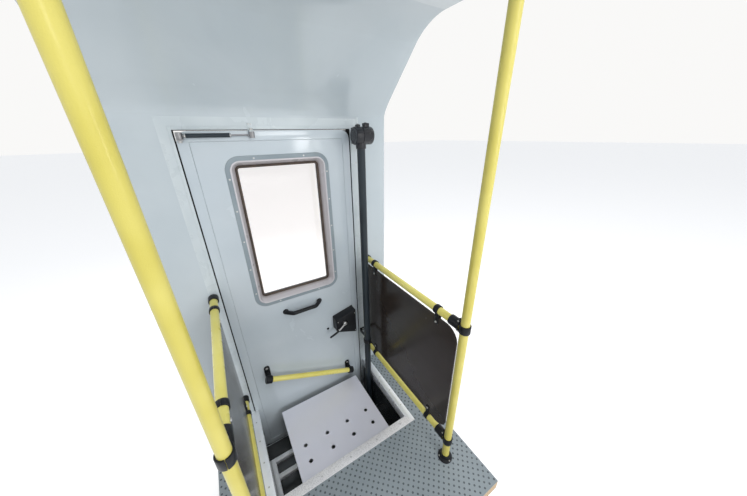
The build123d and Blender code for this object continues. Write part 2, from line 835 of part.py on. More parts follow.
with BuildPart() as stay_frame_bracket:
    frame_tongue_x = around(stay_frame_x, 2 * eye_radius)
    frame_tongue_z = (stay_high + stay_clear, stay_high + stay_clear + stay_tongue_thick)
    web_y = (wall_inner - stay_stand_off - stay_tongue_thick, wall_inner - stay_stand_off)
    web_top = opening_top + stay_web_rise
    slab(frame_tongue_x, (stay_y - eye_radius, web_y[1]), frame_tongue_z)
    slab(frame_tongue_x, web_y, (frame_tongue_z[0], web_top))
    slab(frame_tongue_x, (web_y[1], wall_inner), (opening_top + seal_setback, web_top))
save(stay_frame_bracket.part, "stay_frame_bracket")

tube_start = stay_leaf_x + stay_tube_start
tube_end = tube_start + stay_tube_length
with BuildPart() as stay_tube:
    rod_between((stay_leaf_x, stay_y, stay_low), (stay_leaf_x, stay_y, stay_high), eye_radius)
    rod_between((stay_leaf_x + pin_radius, stay_y, stay_level), (tube_start, stay_y, stay_level),
                stay_tube_radius / 2)
    rod_between((tube_start, stay_y, stay_level), (tube_end, stay_y, stay_level),
                stay_tube_radius)
    rod_between((tube_end - stay_bore_depth, stay_y, stay_level),
                (tube_end + stay_tube_start, stay_y, stay_level), rod_radius + pin_fit,
                Mode.SUBTRACT)
    rod_between((stay_leaf_x, stay_y, stay_low - eye_height),
                (stay_leaf_x, stay_y, stay_high + eye_height), pin_radius + pin_fit, Mode.SUBTRACT)
save(stay_tube.part, "stay_tube")

with BuildPart() as stay_rod:
    rod_between((tube_end - stay_insertion, stay_y, stay_level), (stay_frame_x, stay_y, stay_level),
                rod_radius)
    rod_between((stay_frame_x, stay_y, stay_low), (stay_frame_x, stay_y, stay_high), eye_radius)
save(stay_rod.part, "stay_rod")
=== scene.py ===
"""The looks of the bus entrance bay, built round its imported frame, in metres.

X runs along the side wall, Y points out of the body and Z points up.
"""

import math

import bmesh
import bpy
from mathutils import Matrix, Vector


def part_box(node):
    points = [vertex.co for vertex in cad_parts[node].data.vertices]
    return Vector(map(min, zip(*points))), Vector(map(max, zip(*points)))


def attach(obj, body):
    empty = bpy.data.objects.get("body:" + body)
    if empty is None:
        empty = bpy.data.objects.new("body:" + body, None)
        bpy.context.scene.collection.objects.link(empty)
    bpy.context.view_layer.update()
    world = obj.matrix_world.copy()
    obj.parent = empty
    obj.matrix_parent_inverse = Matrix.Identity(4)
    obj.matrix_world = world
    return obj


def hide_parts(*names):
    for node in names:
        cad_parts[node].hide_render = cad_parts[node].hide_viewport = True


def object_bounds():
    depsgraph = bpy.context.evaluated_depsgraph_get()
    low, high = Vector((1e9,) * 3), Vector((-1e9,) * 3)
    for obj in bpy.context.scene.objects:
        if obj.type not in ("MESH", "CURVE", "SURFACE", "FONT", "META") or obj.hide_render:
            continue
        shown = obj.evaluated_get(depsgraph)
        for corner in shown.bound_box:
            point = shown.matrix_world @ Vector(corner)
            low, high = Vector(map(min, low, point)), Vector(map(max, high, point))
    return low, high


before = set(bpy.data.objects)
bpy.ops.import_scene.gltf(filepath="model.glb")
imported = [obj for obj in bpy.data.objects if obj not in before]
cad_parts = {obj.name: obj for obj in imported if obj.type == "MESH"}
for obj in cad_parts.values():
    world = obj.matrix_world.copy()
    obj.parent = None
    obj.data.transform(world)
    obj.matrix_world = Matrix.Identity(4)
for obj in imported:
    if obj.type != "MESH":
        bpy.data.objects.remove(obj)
CAD_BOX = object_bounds()

# Lines of the body, read from the frame
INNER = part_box("wall_left")[0].y
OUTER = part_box("wall_left")[1].y
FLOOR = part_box("floor_covering")[1].z
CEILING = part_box("ceiling_panel")[0].z
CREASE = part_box("cove_panel")[0].z
BAY_LEFT = CAD_BOX[0].x
BAY_RIGHT = CAD_BOX[1].x

X, Y, Z = Vector((1, 0, 0)), Vector((0, 1, 0)), Vector((0, 0, 1))


def middle(node):
    """The centre of a node's box."""
    low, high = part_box(node)
    return (low + high) / 2


def view_camera():
    """A plain wide camera, close to the photograph's place and aim."""
    place = Vector((-0.281, -0.750, 1.699))
    azimuth, pitch, roll = math.radians(31.0), math.radians(-23.6), math.radians(-1.0)
    ahead = Vector((math.sin(azimuth) * math.cos(pitch), math.cos(azimuth) * math.cos(pitch),
                    math.sin(pitch)))
    right = ahead.cross(Z).normalized()
    up = right.cross(ahead)
    turned_right = right * math.cos(roll) + up * math.sin(roll)
    turned_up = turned_right.cross(ahead)
    data = bpy.data.cameras.new("view")
    data.lens, data.sensor_width = 12.55, 36.0
    camera = bpy.data.objects.new("view", data)
    axes = Matrix((turned_right, turned_up, -ahead)).transposed().to_4x4()
    camera.matrix_world = Matrix.Translation(place) @ axes
    bpy.context.scene.collection.objects.link(camera)
    bpy.context.scene.camera = camera


view_camera()


# Mesh tools

def circle(sides):
    """The cosine and sine of each step round a circle."""
    turns = [math.tau * i / sides for i in range(sides)]
    return [(math.cos(turn), math.sin(turn)) for turn in turns]


def block(bm, low, high, edge=0.0, segments=2):
    """A block with eased edges between two corners."""
    low, high = Vector(low), Vector(high)
    place = Matrix.Translation((low + high) / 2) @ Matrix.Diagonal((*(high - low), 1))
    made = bmesh.ops.create_cube(bm, size=1.0, matrix=place)
    if edge:
        edges = list({e for v in made["verts"] for e in v.link_edges})
        bmesh.ops.bevel(bm, geom=edges, offset=edge, segments=segments, affect="EDGES",
                        profile=0.5)


def bridge(bm, rings, closed=False):
    """Quads between rings of equal count, where a ring of one point is a tip."""
    pairs = list(zip(rings, rings[1:])) + ([(rings[-1], rings[0])] if closed else [])
    for a, b in pairs:
        count = max(len(a), len(b))
        for i in range(count):
            j = (i + 1) % count
            corners = [a[i % len(a)], a[j % len(a)], b[j % len(b)], b[i % len(b)]]
            face = list(dict.fromkeys(corners))
            if len(face) > 2:
                bm.faces.new(face)


def turned(bm, profile, base, axis, sides=32, flats=None):
    """A turned form: profile lists (radius, distance along the axis). flats holds the
    indices of the rings that are hexagons."""
    axis = Vector(axis).normalized()
    across = axis.orthogonal().normalized()
    third = axis.cross(across)
    rings = []
    for index, (radius, along) in enumerate(profile):
        centre = Vector(base) + axis * along
        if radius == 0:
            rings.append([bm.verts.new(centre)])
            continue
        ring = []
        for step in range(sides):
            turn = math.tau * step / sides
            reach = radius
            if flats and index in flats:
                sixth = math.tau / 6
                reach = radius * math.cos(sixth / 2) / math.cos(turn % sixth - sixth / 2)
            ring.append(bm.verts.new(
                centre + (across * math.cos(turn) + third * math.sin(turn)) * reach))
        rings.append(ring)
    bridge(bm, rings)
    for ring in (rings[0], rings[-1]):
        if len(ring) > 2:
            bm.faces.new(ring)


def bar(bm, start, end, radius, sides=32, edge=0.0):
    """A round bar with eased ends."""
    line = Vector(end) - Vector(start)
    length = line.length
    profile = [(radius, 0), (radius, length)]
    if edge:
        profile = [(radius - edge, 0), (radius, edge), (radius, length - edge),
                   (radius - edge, length)]
    turned(bm, profile, start, line, sides)


def sleeve(bm, start, end, outer, inner, sides=40, edge=0.001):
    """A round sleeve with eased rims, open along its bore."""
    line = Vector(end) - Vector(start)
    length, axis = line.length, line.normalized()
    across = axis.orthogonal().normalized()
    third = axis.cross(across)
    section = [(inner, 0), (outer - edge, 0), (outer, edge), (outer, length - edge),
               (outer - edge, length), (inner, length)]
    rings = [[bm.verts.new(Vector(start) + axis * along + (across * c + third * s) * radius)
              for c, s in circle(sides)] for radius, along in section]
    bridge(bm, rings, closed=True)


def half_clamps(bm, start, end, outer, inner, split, sides=24, edge=0.0014):
    """Two half sleeves either side of a thin seam that lies across X."""
    line = Vector(end) - Vector(start)
    length, axis = line.length, line.normalized()
    third = axis.cross(X)
    section = [(inner, 0), (outer - edge, 0), (outer - edge * 0.3, edge * 0.3), (outer, edge),
               (outer, length - edge), (outer - edge * 0.3, length - edge * 0.3),
               (outer - edge, length), (inner, length)]
    for side in (-1, 1):
        rings = []
        for i in range(sides + 1):
            lean = math.pi * i / sides - math.pi / 2
            ring = []
            for radius, along in section:
                clear = math.asin(split / radius)
                turn = max(-math.pi / 2 + clear, min(math.pi / 2 - clear, lean))
                ring.append(bm.verts.new(Vector(start) + axis * along
                                         + (X * side * math.cos(turn)
                                            + third * math.sin(turn)) * radius))
            rings.append(ring)
        bridge(bm, rings)
        bm.faces.new(rings[0])
        bm.faces.new(rings[-1])


def swept(bm, points, radius, sides):
    """A round bar that follows a line of points."""
    points = [Vector(p) for p in points]
    normal = None
    rings = []
    for i, point in enumerate(points):
        ahead = points[min(i + 1, len(points) - 1)] - points[max(i - 1, 0)]
        ahead.normalize()
        if normal is None:
            normal = ahead.orthogonal().normalized()
        normal = (normal - ahead * normal.dot(ahead)).normalized()
        third = ahead.cross(normal)
        rings.append([bm.verts.new(point + (normal * c + third * s) * radius)
                      for c, s in circle(sides)])
    bridge(bm, rings)
    bm.faces.new(rings[0])
    bm.faces.new(rings[-1])


def rounded_loop(half_x, half_z, corner, steps):
    """Points round a rounded rectangle, starting at the top of its right side."""
    loop = []
    for turn, (sx, sz) in enumerate(((1, 1), (-1, 1), (-1, -1), (1, -1))):
        centre = (sx * (half_x - corner), sz * (half_z - corner))
        for step in range(steps + 1):
            angle = math.pi / 2 * (turn + step / steps)
            loop.append((centre[0] + corner * math.cos(angle),
                         centre[1] + corner * math.sin(angle)))
    return loop


def framed(bm, centre, half_x, half_z, corner, section, steps):
    """A frame in the XZ plane whose section lists (outward distance, Y)."""
    rings = []
    for out, y in section:
        loop = rounded_loop(half_x + out, half_z + out, max(corner + out, 0.0005), steps)
        rings.append([bm.verts.new((centre[0] + x, y, centre[2] + z)) for x, z in loop])
    bridge(bm, rings, closed=True)


def plate(bm, outline, holes, span, edge, lay):
    """A flat plate with holes and eased edges. outline and each hole take how far the
    loop grows and return its points; lay puts (u, v, depth) in space."""
    low, high = span
    levels = ((edge, low), (0, low + edge), (0, high - edge), (edge, high))
    faces = {low: [], high: []}
    for loop, inward in [(outline, -1)] + [(hole, 1) for hole in holes]:
        rings = [[bm.verts.new(lay(u, v, depth)) for u, v in loop(inward * grow)]
                 for grow, depth in levels]
        bridge(bm, rings)
        for ring, depth in ((rings[0], low), (rings[-1], high)):
            faces[depth] += [bm.edges.get((a, b)) for a, b in zip(ring, ring[1:] + ring[:1])]
    for edges in faces.values():
        bmesh.ops.triangle_fill(bm, edges=edges, use_beauty=True)


def prism(bm, points, shift, edge=0.0, segments=2):
    """A flat outline pushed along a line, with eased edges."""
    near = [bm.verts.new(Vector(p)) for p in points]
    far = [bm.verts.new(Vector(p) + Vector(shift)) for p in points]
    faces = [bm.faces.new(near), bm.faces.new(far)]
    for i in range(len(points)):
        j = (i + 1) % len(points)
        faces.append(bm.faces.new([near[i], near[j], far[j], far[i]]))
    if edge:
        edges = list({e for face in faces for e in face.edges})
        bmesh.ops.bevel(bm, geom=edges, offset=edge, segments=segments, affect="EDGES",
                        profile=0.5)


def bent_path(corners, radius, steps=7):
    """Points along a line of corners, each rounded by an arc."""
    corners = [Vector(corner) for corner in corners]
    path = [corners[0]]
    for before, corner, after in zip(corners, corners[1:], corners[2:]):
        back, on = (before - corner).normalized(), (after - corner).normalized()
        half = back.angle(on) / 2
        reach = radius / math.tan(half)
        centre = corner + (back + on).normalized() * radius / math.sin(half)
        start, end = corner + back * reach - centre, corner + on * reach - centre
        path += [centre + start.slerp(end, i / steps).normalized() * radius
                 for i in range(steps + 1)]
    return path + [corners[-1]]


def ring_hole(centre, radius, sides=40):
    """The loop of a round hole that grows with its argument."""
    return lambda grow: [(centre[0] + (radius + grow) * c, centre[1] + (radius + grow) * s)
                         for c, s in circle(sides)]


def ring_box(centre, half_u, half_v, corner, steps):
    """The loop of a rounded rectangle that grows with its argument."""
    return lambda grow: [(centre[0] + u, centre[1] + v) for u, v in
                         rounded_loop(half_u + grow, half_v + grow,
                                      max(corner + grow, 0.0004), steps)]


def finished(name, bm, material, body="bay", replaces=(), crease=32):
    """Turn a mesh into a named piece that rides on a body."""
    bmesh.ops.recalc_face_normals(bm, faces=bm.faces)
    mesh = bpy.data.meshes.new(name)
    bm.to_mesh(mesh)
    bm.free()
    mesh.shade_smooth()
    mesh.set_sharp_from_angle(angle=math.radians(crease))
    mesh.materials.append(material)
    piece = bpy.data.objects.new(name, mesh)
    bpy.context.scene.collection.objects.link(piece)
    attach(piece, body)
    if replaces:
        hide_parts(*replaces)


# Shader tools

def put(tree, kind, **values):
    """A node with its settings and its unlinked inputs given by name."""
    node = tree.nodes.new(kind)
    for key, value in values.items():
        if key in node.inputs:
            node.inputs[key].default_value = value
        elif key.replace("_", " ") in node.inputs:
            node.inputs[key.replace("_", " ")].default_value = value
        else:
            setattr(node, key, value)
    return node


def join(tree, source, target):
    """Link one socket to another."""
    tree.links.new(source, target)


def new_group(name, inputs, outputs):
    """An empty shader group with named sockets, and its two end nodes."""
    group = bpy.data.node_groups.new(name, "ShaderNodeTree")
    for label, kind, value in inputs:
        socket = group.interface.new_socket(label, in_out="INPUT", socket_type=kind)
        if value is not None:
            socket.default_value = value
    for label, kind in outputs:
        group.interface.new_socket(label, in_out="OUTPUT", socket_type=kind)
    return group, group.nodes.new("NodeGroupInput"), group.nodes.new("NodeGroupOutput")


def scaled(tree, source, low, high, out_low, out_high):
    """A value moved from one range to another and held inside it."""
    node = put(tree, "ShaderNodeMapRange", From_Min=low, From_Max=high, To_Min=out_low,
               To_Max=out_high)
    join(tree, source, node.inputs["Value"])
    return node.outputs["Result"]


def combined(tree, operation, first, second):
    """Two values put through one operation, where a number may stand for either."""
    node = put(tree, "ShaderNodeMath", operation=operation)
    for index, part in enumerate((first, second)):
        if isinstance(part, (int, float)):
            node.inputs[index].default_value = part
        else:
            join(tree, part, node.inputs[index])
    return node.outputs[0]


# Effects that several materials share

FLOAT, VECTOR = "NodeSocketFloat", "NodeSocketVector"


def make_orange_peel():
    """The soft ripple and fine grain of a sprayed or moulded gloss surface."""
    group, start, end = new_group(
        "orange_peel",
        [("Position", VECTOR, None), ("Ripple Scale", FLOAT, 6.0), ("Grain Scale", FLOAT, 500.0),
         ("Grain Share", FLOAT, 0.15)],
        [("Height", FLOAT), ("Patch", FLOAT)])
    ripple = put(group, "ShaderNodeTexNoise", Detail=2.0, Roughness=0.45)
    grain = put(group, "ShaderNodeTexNoise", Detail=1.0, Roughness=0.5)
    for noise, scale in ((ripple, "Ripple Scale"), (grain, "Grain Scale")):
        join(group, start.outputs["Position"], noise.inputs["Vector"])
        join(group, start.outputs[scale], noise.inputs["Scale"])
    fine = combined(group, "MULTIPLY", grain.outputs["Fac"], start.outputs["Grain Share"])
    join(group, combined(group, "ADD", ripple.outputs["Fac"], fine), end.inputs["Height"])
    join(group, scaled(group, ripple.outputs["Fac"], 0.35, 0.65, 0, 1), end.inputs["Patch"])
    return group


def make_edge_wear():
    """A mask of the sharp edges, broken up as rubbed edges are."""
    group, start, end = new_group(
        "edge_wear",
        [("Position", VECTOR, None), ("Width", FLOAT, 0.002), ("Break Scale", FLOAT, 90.0)],
        [("Mask", FLOAT)])
    eased = put(group, "ShaderNodeBevel", samples=4)
    join(group, start.outputs["Width"], eased.inputs["Radius"])
    plain = put(group, "ShaderNodeNewGeometry")
    meet = put(group, "ShaderNodeVectorMath", operation="DOT_PRODUCT")
    join(group, eased.outputs["Normal"], meet.inputs[0])
    join(group, plain.outputs["Normal"], meet.inputs[1])
    edge = scaled(group, meet.outputs["Value"], 0.995, 0.90, 0, 1)
    noise = put(group, "ShaderNodeTexNoise", Detail=4.0, Roughness=0.65)
    join(group, start.outputs["Position"], noise.inputs["Vector"])
    join(group, start.outputs["Break Scale"], noise.inputs["Scale"])
    broken = scaled(group, noise.outputs["Fac"], 0.42, 0.62, 0, 1)
    join(group, combined(group, "MULTIPLY", edge, broken), end.inputs["Mask"])
    return group


def make_dust():
    """Faint smears and settled dust: more on faces that look up, uneven everywhere."""
    group, start, end = new_group(
        "dust",
        [("Position", VECTOR, None), ("Smear Scale", FLOAT, 5.0), ("Settled", FLOAT, 0.4)],
        [("Mask", FLOAT)])
    smear = put(group, "ShaderNodeTexNoise", Detail=5.0, Roughness=0.7, Distortion=0.8)
    join(group, start.outputs["Position"], smear.inputs["Vector"])
    join(group, start.outputs["Smear Scale"], smear.inputs["Scale"])
    faces = put(group, "ShaderNodeTexCoord")
    parts = put(group, "ShaderNodeSeparateXYZ")
    join(group, faces.outputs["Normal"], parts.inputs[0])
    upward = scaled(group, parts.outputs["Z"], 0.3, 1.0, 0, 1)
    settled = combined(group, "MULTIPLY", upward, start.outputs["Settled"])
    smears = scaled(group, smear.outputs["Fac"], 0.45, 0.8, 0, 1)
    both = combined(group, "ADD", smears, settled)
    both.node.use_clamp = True
    join(group, both, end.inputs["Mask"])
    return group


def make_brushed():
    """Fine drawn lines that run along the axis whose stretch is smallest."""
    group, start, end = new_group(
        "brushed_lines",
        [("Position", VECTOR, None), ("Stretch", VECTOR, (1.0, 1.0, 1.0)),
         ("Line Scale", FLOAT, 700.0)],
        [("Height", FLOAT), ("Tone", FLOAT)])
    stretch = put(group, "ShaderNodeVectorMath", operation="MULTIPLY")
    join(group, start.outputs["Position"], stretch.inputs[0])
    join(group, start.outputs["Stretch"], stretch.inputs[1])
    lines = put(group, "ShaderNodeTexNoise", Detail=3.0, Roughness=0.6)
    join(group, stretch.outputs[0], lines.inputs["Vector"])
    join(group, start.outputs["Line Scale"], lines.inputs["Scale"])
    cloud = put(group, "ShaderNodeTexNoise", Scale=14.0, Detail=3.0)
    join(group, start.outputs["Position"], cloud.inputs["Vector"])
    join(group, lines.outputs["Fac"], end.inputs["Height"])
    tone = combined(group, "ADD", combined(group, "MULTIPLY", lines.outputs["Fac"], 0.6),
                    combined(group, "MULTIPLY", cloud.outputs["Fac"], 0.4))
    join(group, tone, end.inputs["Tone"])
    return group


def make_cut_face():
    """A mask of the panel's cut ends, which face along X, or Y at the inner edges."""
    group, start, end = new_group(
        "cut_face",
        [("Along X", FLOAT, 1.0), ("Along Y", FLOAT, 0.0)],
        [("Mask", FLOAT)])
    faces = put(group, "ShaderNodeTexCoord")
    parts = put(group, "ShaderNodeSeparateXYZ")
    join(group, faces.outputs["Normal"], parts.inputs[0])
    across = combined(group, "MULTIPLY", combined(group, "ABSOLUTE", parts.outputs["X"], 0),
                      start.outputs["Along X"])
    inward = combined(group, "MULTIPLY", combined(group, "ABSOLUTE", parts.outputs["Y"], 0),
                      start.outputs["Along Y"])
    most = combined(group, "MAXIMUM", across, inward)
    join(group, combined(group, "GREATER_THAN", most, 0.9), end.inputs["Mask"])
    return group


GROUPS = {
    "orange_peel": make_orange_peel(),
    "edge_wear": make_edge_wear(),
    "dust": make_dust(),
    "brushed_lines": make_brushed(),
    "cut_face": make_cut_face(),
}


# Kinds of finish

class Finish:
    """One material being put together: its tree, its shader and the object's position."""

    def __init__(self, name, **shader_values):
        """Start a material, with constants on its shader's own sockets."""
        self.material = bpy.data.materials.new(name)
        self.material.use_nodes = True
        self.tree = self.material.node_tree
        self.shader = self.tree.nodes["Principled BSDF"]
        for key, value in shader_values.items():
            self.shader.inputs[key.replace("_", " ")].default_value = value
        self.position = put(self.tree, "ShaderNodeTexCoord").outputs["Object"]

    def effect(self, name, **values):
        """A shared effect with this material's own values."""
        node = put(self.tree, "ShaderNodeGroup")
        node.node_tree = GROUPS[name]
        for key, value in values.items():
            node.inputs[key.replace("_", " ")].default_value = value
        if "Position" in node.inputs:
            join(self.tree, self.position, node.inputs["Position"])
        return node.outputs

    def tones(self, mask, first, second):
        """A colour that goes from one tone to another by a mask."""
        mix = put(self.tree, "ShaderNodeMix", data_type="RGBA")
        join(self.tree, mask, mix.inputs["Factor"])
        for socket, tone in ((mix.inputs[6], first), (mix.inputs[7], second)):
            if isinstance(tone, tuple):
                socket.default_value = (*tone, 1.0)
            else:
                join(self.tree, tone, socket)
        return mix.outputs[2]

    def colour(self, socket):
        """Send a colour to the shader."""
        join(self.tree, socket, self.shader.inputs["Base Color"])

    def rough(self, mask, low, high):
        """Roughness that goes from low to high by a mask."""
        join(self.tree, scaled(self.tree, mask, 0, 1, low, high),
             self.shader.inputs["Roughness"])

    def relief(self, height, distance, strength):
        """Fine relief of the surface, from a height."""
        bump = put(self.tree, "ShaderNodeBump", Distance=distance, Strength=strength)
        join(self.tree, height, bump.inputs["Height"])
        join(self.tree, bump.outputs["Normal"], self.shader.inputs["Normal"])


def gelcoat(name, tone, shade, core=None, along_y=0.0):
    """Glossy moulded skin, with foam at the cut ends where a core is given."""
    made = Finish(name, Roughness=0.2, Coat_Weight=0.35, Coat_Roughness=0.08)
    peel = made.effect("orange_peel", Ripple_Scale=3.5, Grain_Scale=260.0, Grain_Share=0.02)
    dust = made.effect("dust", Smear_Scale=2.2, Settled=0.1)
    skin = made.tones(peel["Patch"], tone, shade)
    skin = made.tones(scaled(made.tree, dust["Mask"], 0, 1, 0, 0.25), skin,
                      tuple(c * 0.86 for c in shade))
    if core:
        cut = made.effect("cut_face", Along_X=1.0, Along_Y=along_y)
        cells = put(made.tree, "ShaderNodeTexVoronoi", Scale=420.0)
        join(made.tree, made.position, cells.inputs["Vector"])
        foam = made.tones(scaled(made.tree, cells.outputs["Distance"], 0.1, 0.7, 0, 1),
                          tuple(c * 0.8 for c in core), core)
        skin = made.tones(cut["Mask"], skin, foam)
    made.colour(skin)
    made.rough(dust["Mask"], 0.16, 0.34)
    made.relief(peel["Height"], 0.0016, 0.5)
    return made.material


def coated(name, tone, shade, rough, grain_scale, grain_depth, bare=None, wear_width=0.0015,
           coat=0.0, ripple=8.0, sheen=0.5):
    """Paint, powder coat or moulding with its grain, its edges rubbed where bare is given."""
    made = Finish(name, Coat_Weight=coat, Coat_Roughness=0.12, Specular_IOR_Level=sheen)
    peel = made.effect("orange_peel", Ripple_Scale=ripple, Grain_Scale=grain_scale,
                       Grain_Share=0.8)
    dust = made.effect("dust", Smear_Scale=7.0, Settled=0.15)
    skin = made.tones(peel["Patch"], tone, shade)
    if bare:
        wear = made.effect("edge_wear", Width=wear_width)
        skin = made.tones(wear["Mask"], skin, bare)
    made.colour(skin)
    made.rough(dust["Mask"], rough[0], rough[1])
    made.relief(peel["Height"], grain_depth, 0.6)
    return made.material


def drawn_metal(name, tone, shade, rough, stretch, line_depth=0.00012, metal=1.0):
    """Bare metal sheet or bar with fine drawn lines and clouding."""
    made = Finish(name, Metallic=metal)
    lines = made.effect("brushed_lines", Stretch=stretch)
    dust = made.effect("dust", Smear_Scale=9.0, Settled=0.2)
    skin = made.tones(lines["Tone"], tone, shade)
    made.colour(skin)
    made.rough(dust["Mask"], rough[0], rough[1])
    made.relief(lines["Height"], line_depth, 0.35)
    return made.material


def pebbled_metal(name, tone, shade, rough):
    """Bright aluminium angle with a fine pebbled tread face."""
    made = Finish(name, Metallic=0.3)
    pebble = made.effect("orange_peel", Ripple_Scale=9.0, Grain_Scale=430.0, Grain_Share=0.9)
    spots = put(made.tree, "ShaderNodeTexVoronoi", Scale=240.0)
    join(made.tree, made.position, spots.inputs["Vector"])
    skin = made.tones(pebble["Patch"], tone, shade)
    skin = made.tones(scaled(made.tree, spots.outputs["Distance"], 0.30, 0.70, 0, 0.6), skin,
                      tuple(c * 0.62 for c in shade))
    made.colour(skin)
    made.rough(pebble["Patch"], rough[0], rough[1])
    made.relief(spots.outputs["Distance"], 0.0016, 0.7)
    return made.material


def reveal_paint_painted_shade(name, front, back, tone, shade):
    """Satin paint of the window's reveal, darkened to brown towards the pane as painted shade in the
    recess.
    """
    made = Finish(name, Coat_Weight=0.3, Coat_Roughness=0.15)
    parts = put(made.tree, "ShaderNodeSeparateXYZ")
    join(made.tree, made.position, parts.inputs[0])
    peel = made.effect("orange_peel", Ripple_Scale=16.0, Grain_Scale=600.0, Grain_Share=0.7)
    # Painted shade: the pale paint at the front turns brown at the pane.
    depth = scaled(made.tree, parts.outputs["Y"], front, back, 0, 1)
    made.colour(made.tones(depth, tone, shade))
    made.rough(peel["Patch"], 0.26, 0.40)
    made.relief(peel["Height"], 0.0003, 0.5)
    return made.material


def vinyl(name):
    """Grey floor vinyl with fleck and scuffs, its raised studs darker and smoother."""
    made = Finish(name, Specular_IOR_Level=0.45)
    fleck = put(made.tree, "ShaderNodeTexVoronoi", Scale=360.0)
    join(made.tree, made.position, fleck.inputs["Vector"])
    dots = scaled(made.tree, fleck.outputs["Distance"], 0.16, 0.30, 1, 0)
    peel = made.effect("orange_peel", Ripple_Scale=3.0, Grain_Scale=420.0, Grain_Share=0.5)
    scuff = made.effect("brushed_lines", Stretch=(1.0, 0.12, 1.0), Line_Scale=60.0)
    base = made.tones(peel["Patch"], (0.222, 0.260, 0.282), (0.268, 0.308, 0.330))
    base = made.tones(scaled(made.tree, dots, 0, 1, 0, 0.3), base, (0.38, 0.42, 0.44))
    base = made.tones(scaled(made.tree, scuff["Height"], 0.55, 0.75, 0, 0.25), base,
                      (0.34, 0.37, 0.39))
    heights = put(made.tree, "ShaderNodeSeparateXYZ")
    join(made.tree, made.position, heights.inputs[0])
    raised = scaled(made.tree, heights.outputs["Z"], FLOOR + 0.0001, FLOOR + 0.0004, 0, 0.85)
    base = made.tones(raised, base, (0.070, 0.084, 0.093))
    made.colour(base)
    worn = combined(made.tree, "SUBTRACT", peel["Patch"], raised)
    made.rough(worn, 0.24, 0.40)
    made.relief(peel["Height"], 0.0005, 0.6)
    return made.material


def plywood(name):
    """Board edges with their plies, and wood grain on the faces."""
    made = Finish(name, Roughness=0.7)
    parts = put(made.tree, "ShaderNodeSeparateXYZ")
    join(made.tree, made.position, parts.inputs[0])
    ply = 0.0024
    across = combined(made.tree, "PINGPONG", parts.outputs["Z"], ply)
    band = scaled(made.tree, across, 0.0009, 0.0015, 0, 1)
    grain = made.effect("brushed_lines", Stretch=(0.06, 1.0, 1.0), Line_Scale=160.0)
    wood = made.tones(grain["Tone"], (0.50, 0.36, 0.21), (0.68, 0.53, 0.35))
    made.colour(made.tones(scaled(made.tree, band, 0, 1, 0.0, 0.55), wood, (0.33, 0.21, 0.11)))
    made.relief(grain["Height"], 0.0004, 0.5)
    return made.material


def rubber(name, tone):
    """Dull rubber with a fine bloom."""
    made = Finish(name, Specular_IOR_Level=0.35)
    peel = made.effect("orange_peel", Ripple_Scale=20.0, Grain_Scale=900.0, Grain_Share=0.6)
    made.colour(made.tones(peel["Patch"], tone, tuple(c * 1.7 for c in tone)))
    made.rough(peel["Patch"], 0.5, 0.68)
    made.relief(peel["Height"], 0.0003, 0.5)
    return made.material


def smoked_sheet(name):
    """Dark brown gloss sheet with faint wiping marks and a lighter sawn edge."""
    made = Finish(name, Specular_IOR_Level=0.22, Coat_Weight=0.12, Coat_Roughness=0.12)
    wipe = made.effect("brushed_lines", Stretch=(1.0, 0.2, 0.7), Line_Scale=18.0)
    wear = made.effect("edge_wear", Width=0.0012, Break_Scale=30.0)
    dust = made.effect("dust", Smear_Scale=3.0, Settled=0.2)
    skin = made.tones(wipe["Tone"], (0.030, 0.022, 0.018), (0.048, 0.037, 0.031))
    made.colour(made.tones(scaled(made.tree, wear["Mask"], 0, 1, 0, 0.8), skin,
                           (0.20, 0.18, 0.165)))
    made.rough(dust["Mask"], 0.18, 0.32)
    return made.material


def pane(name):
    """Clear glass with a faint warm tint and a few smears."""
    made = Finish(name, Roughness=0.02, Transmission_Weight=1.0, IOR=1.45)
    dust = made.effect("dust", Smear_Scale=4.0, Settled=0.0)
    made.colour(made.tones(dust["Mask"], (1.0, 0.957, 0.928), (0.985, 0.94, 0.908)))
    made.rough(dust["Mask"], 0.0, 0.06)
    return made.material


# The finishes of this bay

FOAM = (0.80, 0.74, 0.55)
WALL = gelcoat("wall_gelcoat", (0.53, 0.588, 0.617), (0.49, 0.552, 0.585), core=FOAM)
ROOF = gelcoat("roof_gelcoat", (0.62, 0.67, 0.69), (0.58, 0.64, 0.66), core=FOAM, along_y=1.0)
LEAF = gelcoat("door_gelcoat", (0.55, 0.61, 0.65), (0.51, 0.575, 0.62))
FRAME_GREY = coated("frame_paint", (0.58, 0.635, 0.655), (0.53, 0.59, 0.615),
                    rough=(0.25, 0.4), grain_scale=600.0, grain_depth=0.0003, coat=0.2)
# The poles wear the rails' yellow paint, darkened here as painted shade to hold back the stronger light
# near the poles.
POLE_YELLOW_SHADED = coated("pole_yellow", (0.66, 0.580, 0.138), (0.60, 0.520, 0.098),
                     rough=(0.34, 0.48), grain_scale=520.0, grain_depth=0.0007,
                     bare=(0.85, 0.78, 0.42), coat=0.2)
RAIL_YELLOW = coated("rail_yellow", (0.80, 0.725, 0.205), (0.75, 0.665, 0.150),
                     rough=(0.26, 0.40), grain_scale=520.0, grain_depth=0.0007,
                     bare=(0.90, 0.83, 0.46), coat=0.2)
MOULDED = coated("moulded_black", (0.009, 0.010, 0.012), (0.014, 0.0155, 0.018),
                 rough=(0.32, 0.48), grain_scale=700.0, grain_depth=0.0005,
                 bare=(0.07, 0.07, 0.075), sheen=0.22)
POWDER = coated("powder_black", (0.016, 0.023, 0.029), (0.024, 0.033, 0.041),
                rough=(0.34, 0.48), grain_scale=900.0, grain_depth=0.0004,
                bare=(0.14, 0.15, 0.16), sheen=0.3)
DRUM_BLACK = coated("drum_black", (0.018, 0.019, 0.023), (0.026, 0.027, 0.032),
                    rough=(0.26, 0.40), grain_scale=700.0, grain_depth=0.0005,
                    bare=(0.09, 0.09, 0.097), sheen=0.36)
WELL = coated("well_black", (0.030, 0.034, 0.036), (0.044, 0.049, 0.052),
              rough=(0.10, 0.26), grain_scale=160.0, grain_depth=0.0005, coat=0.5, ripple=14.0)
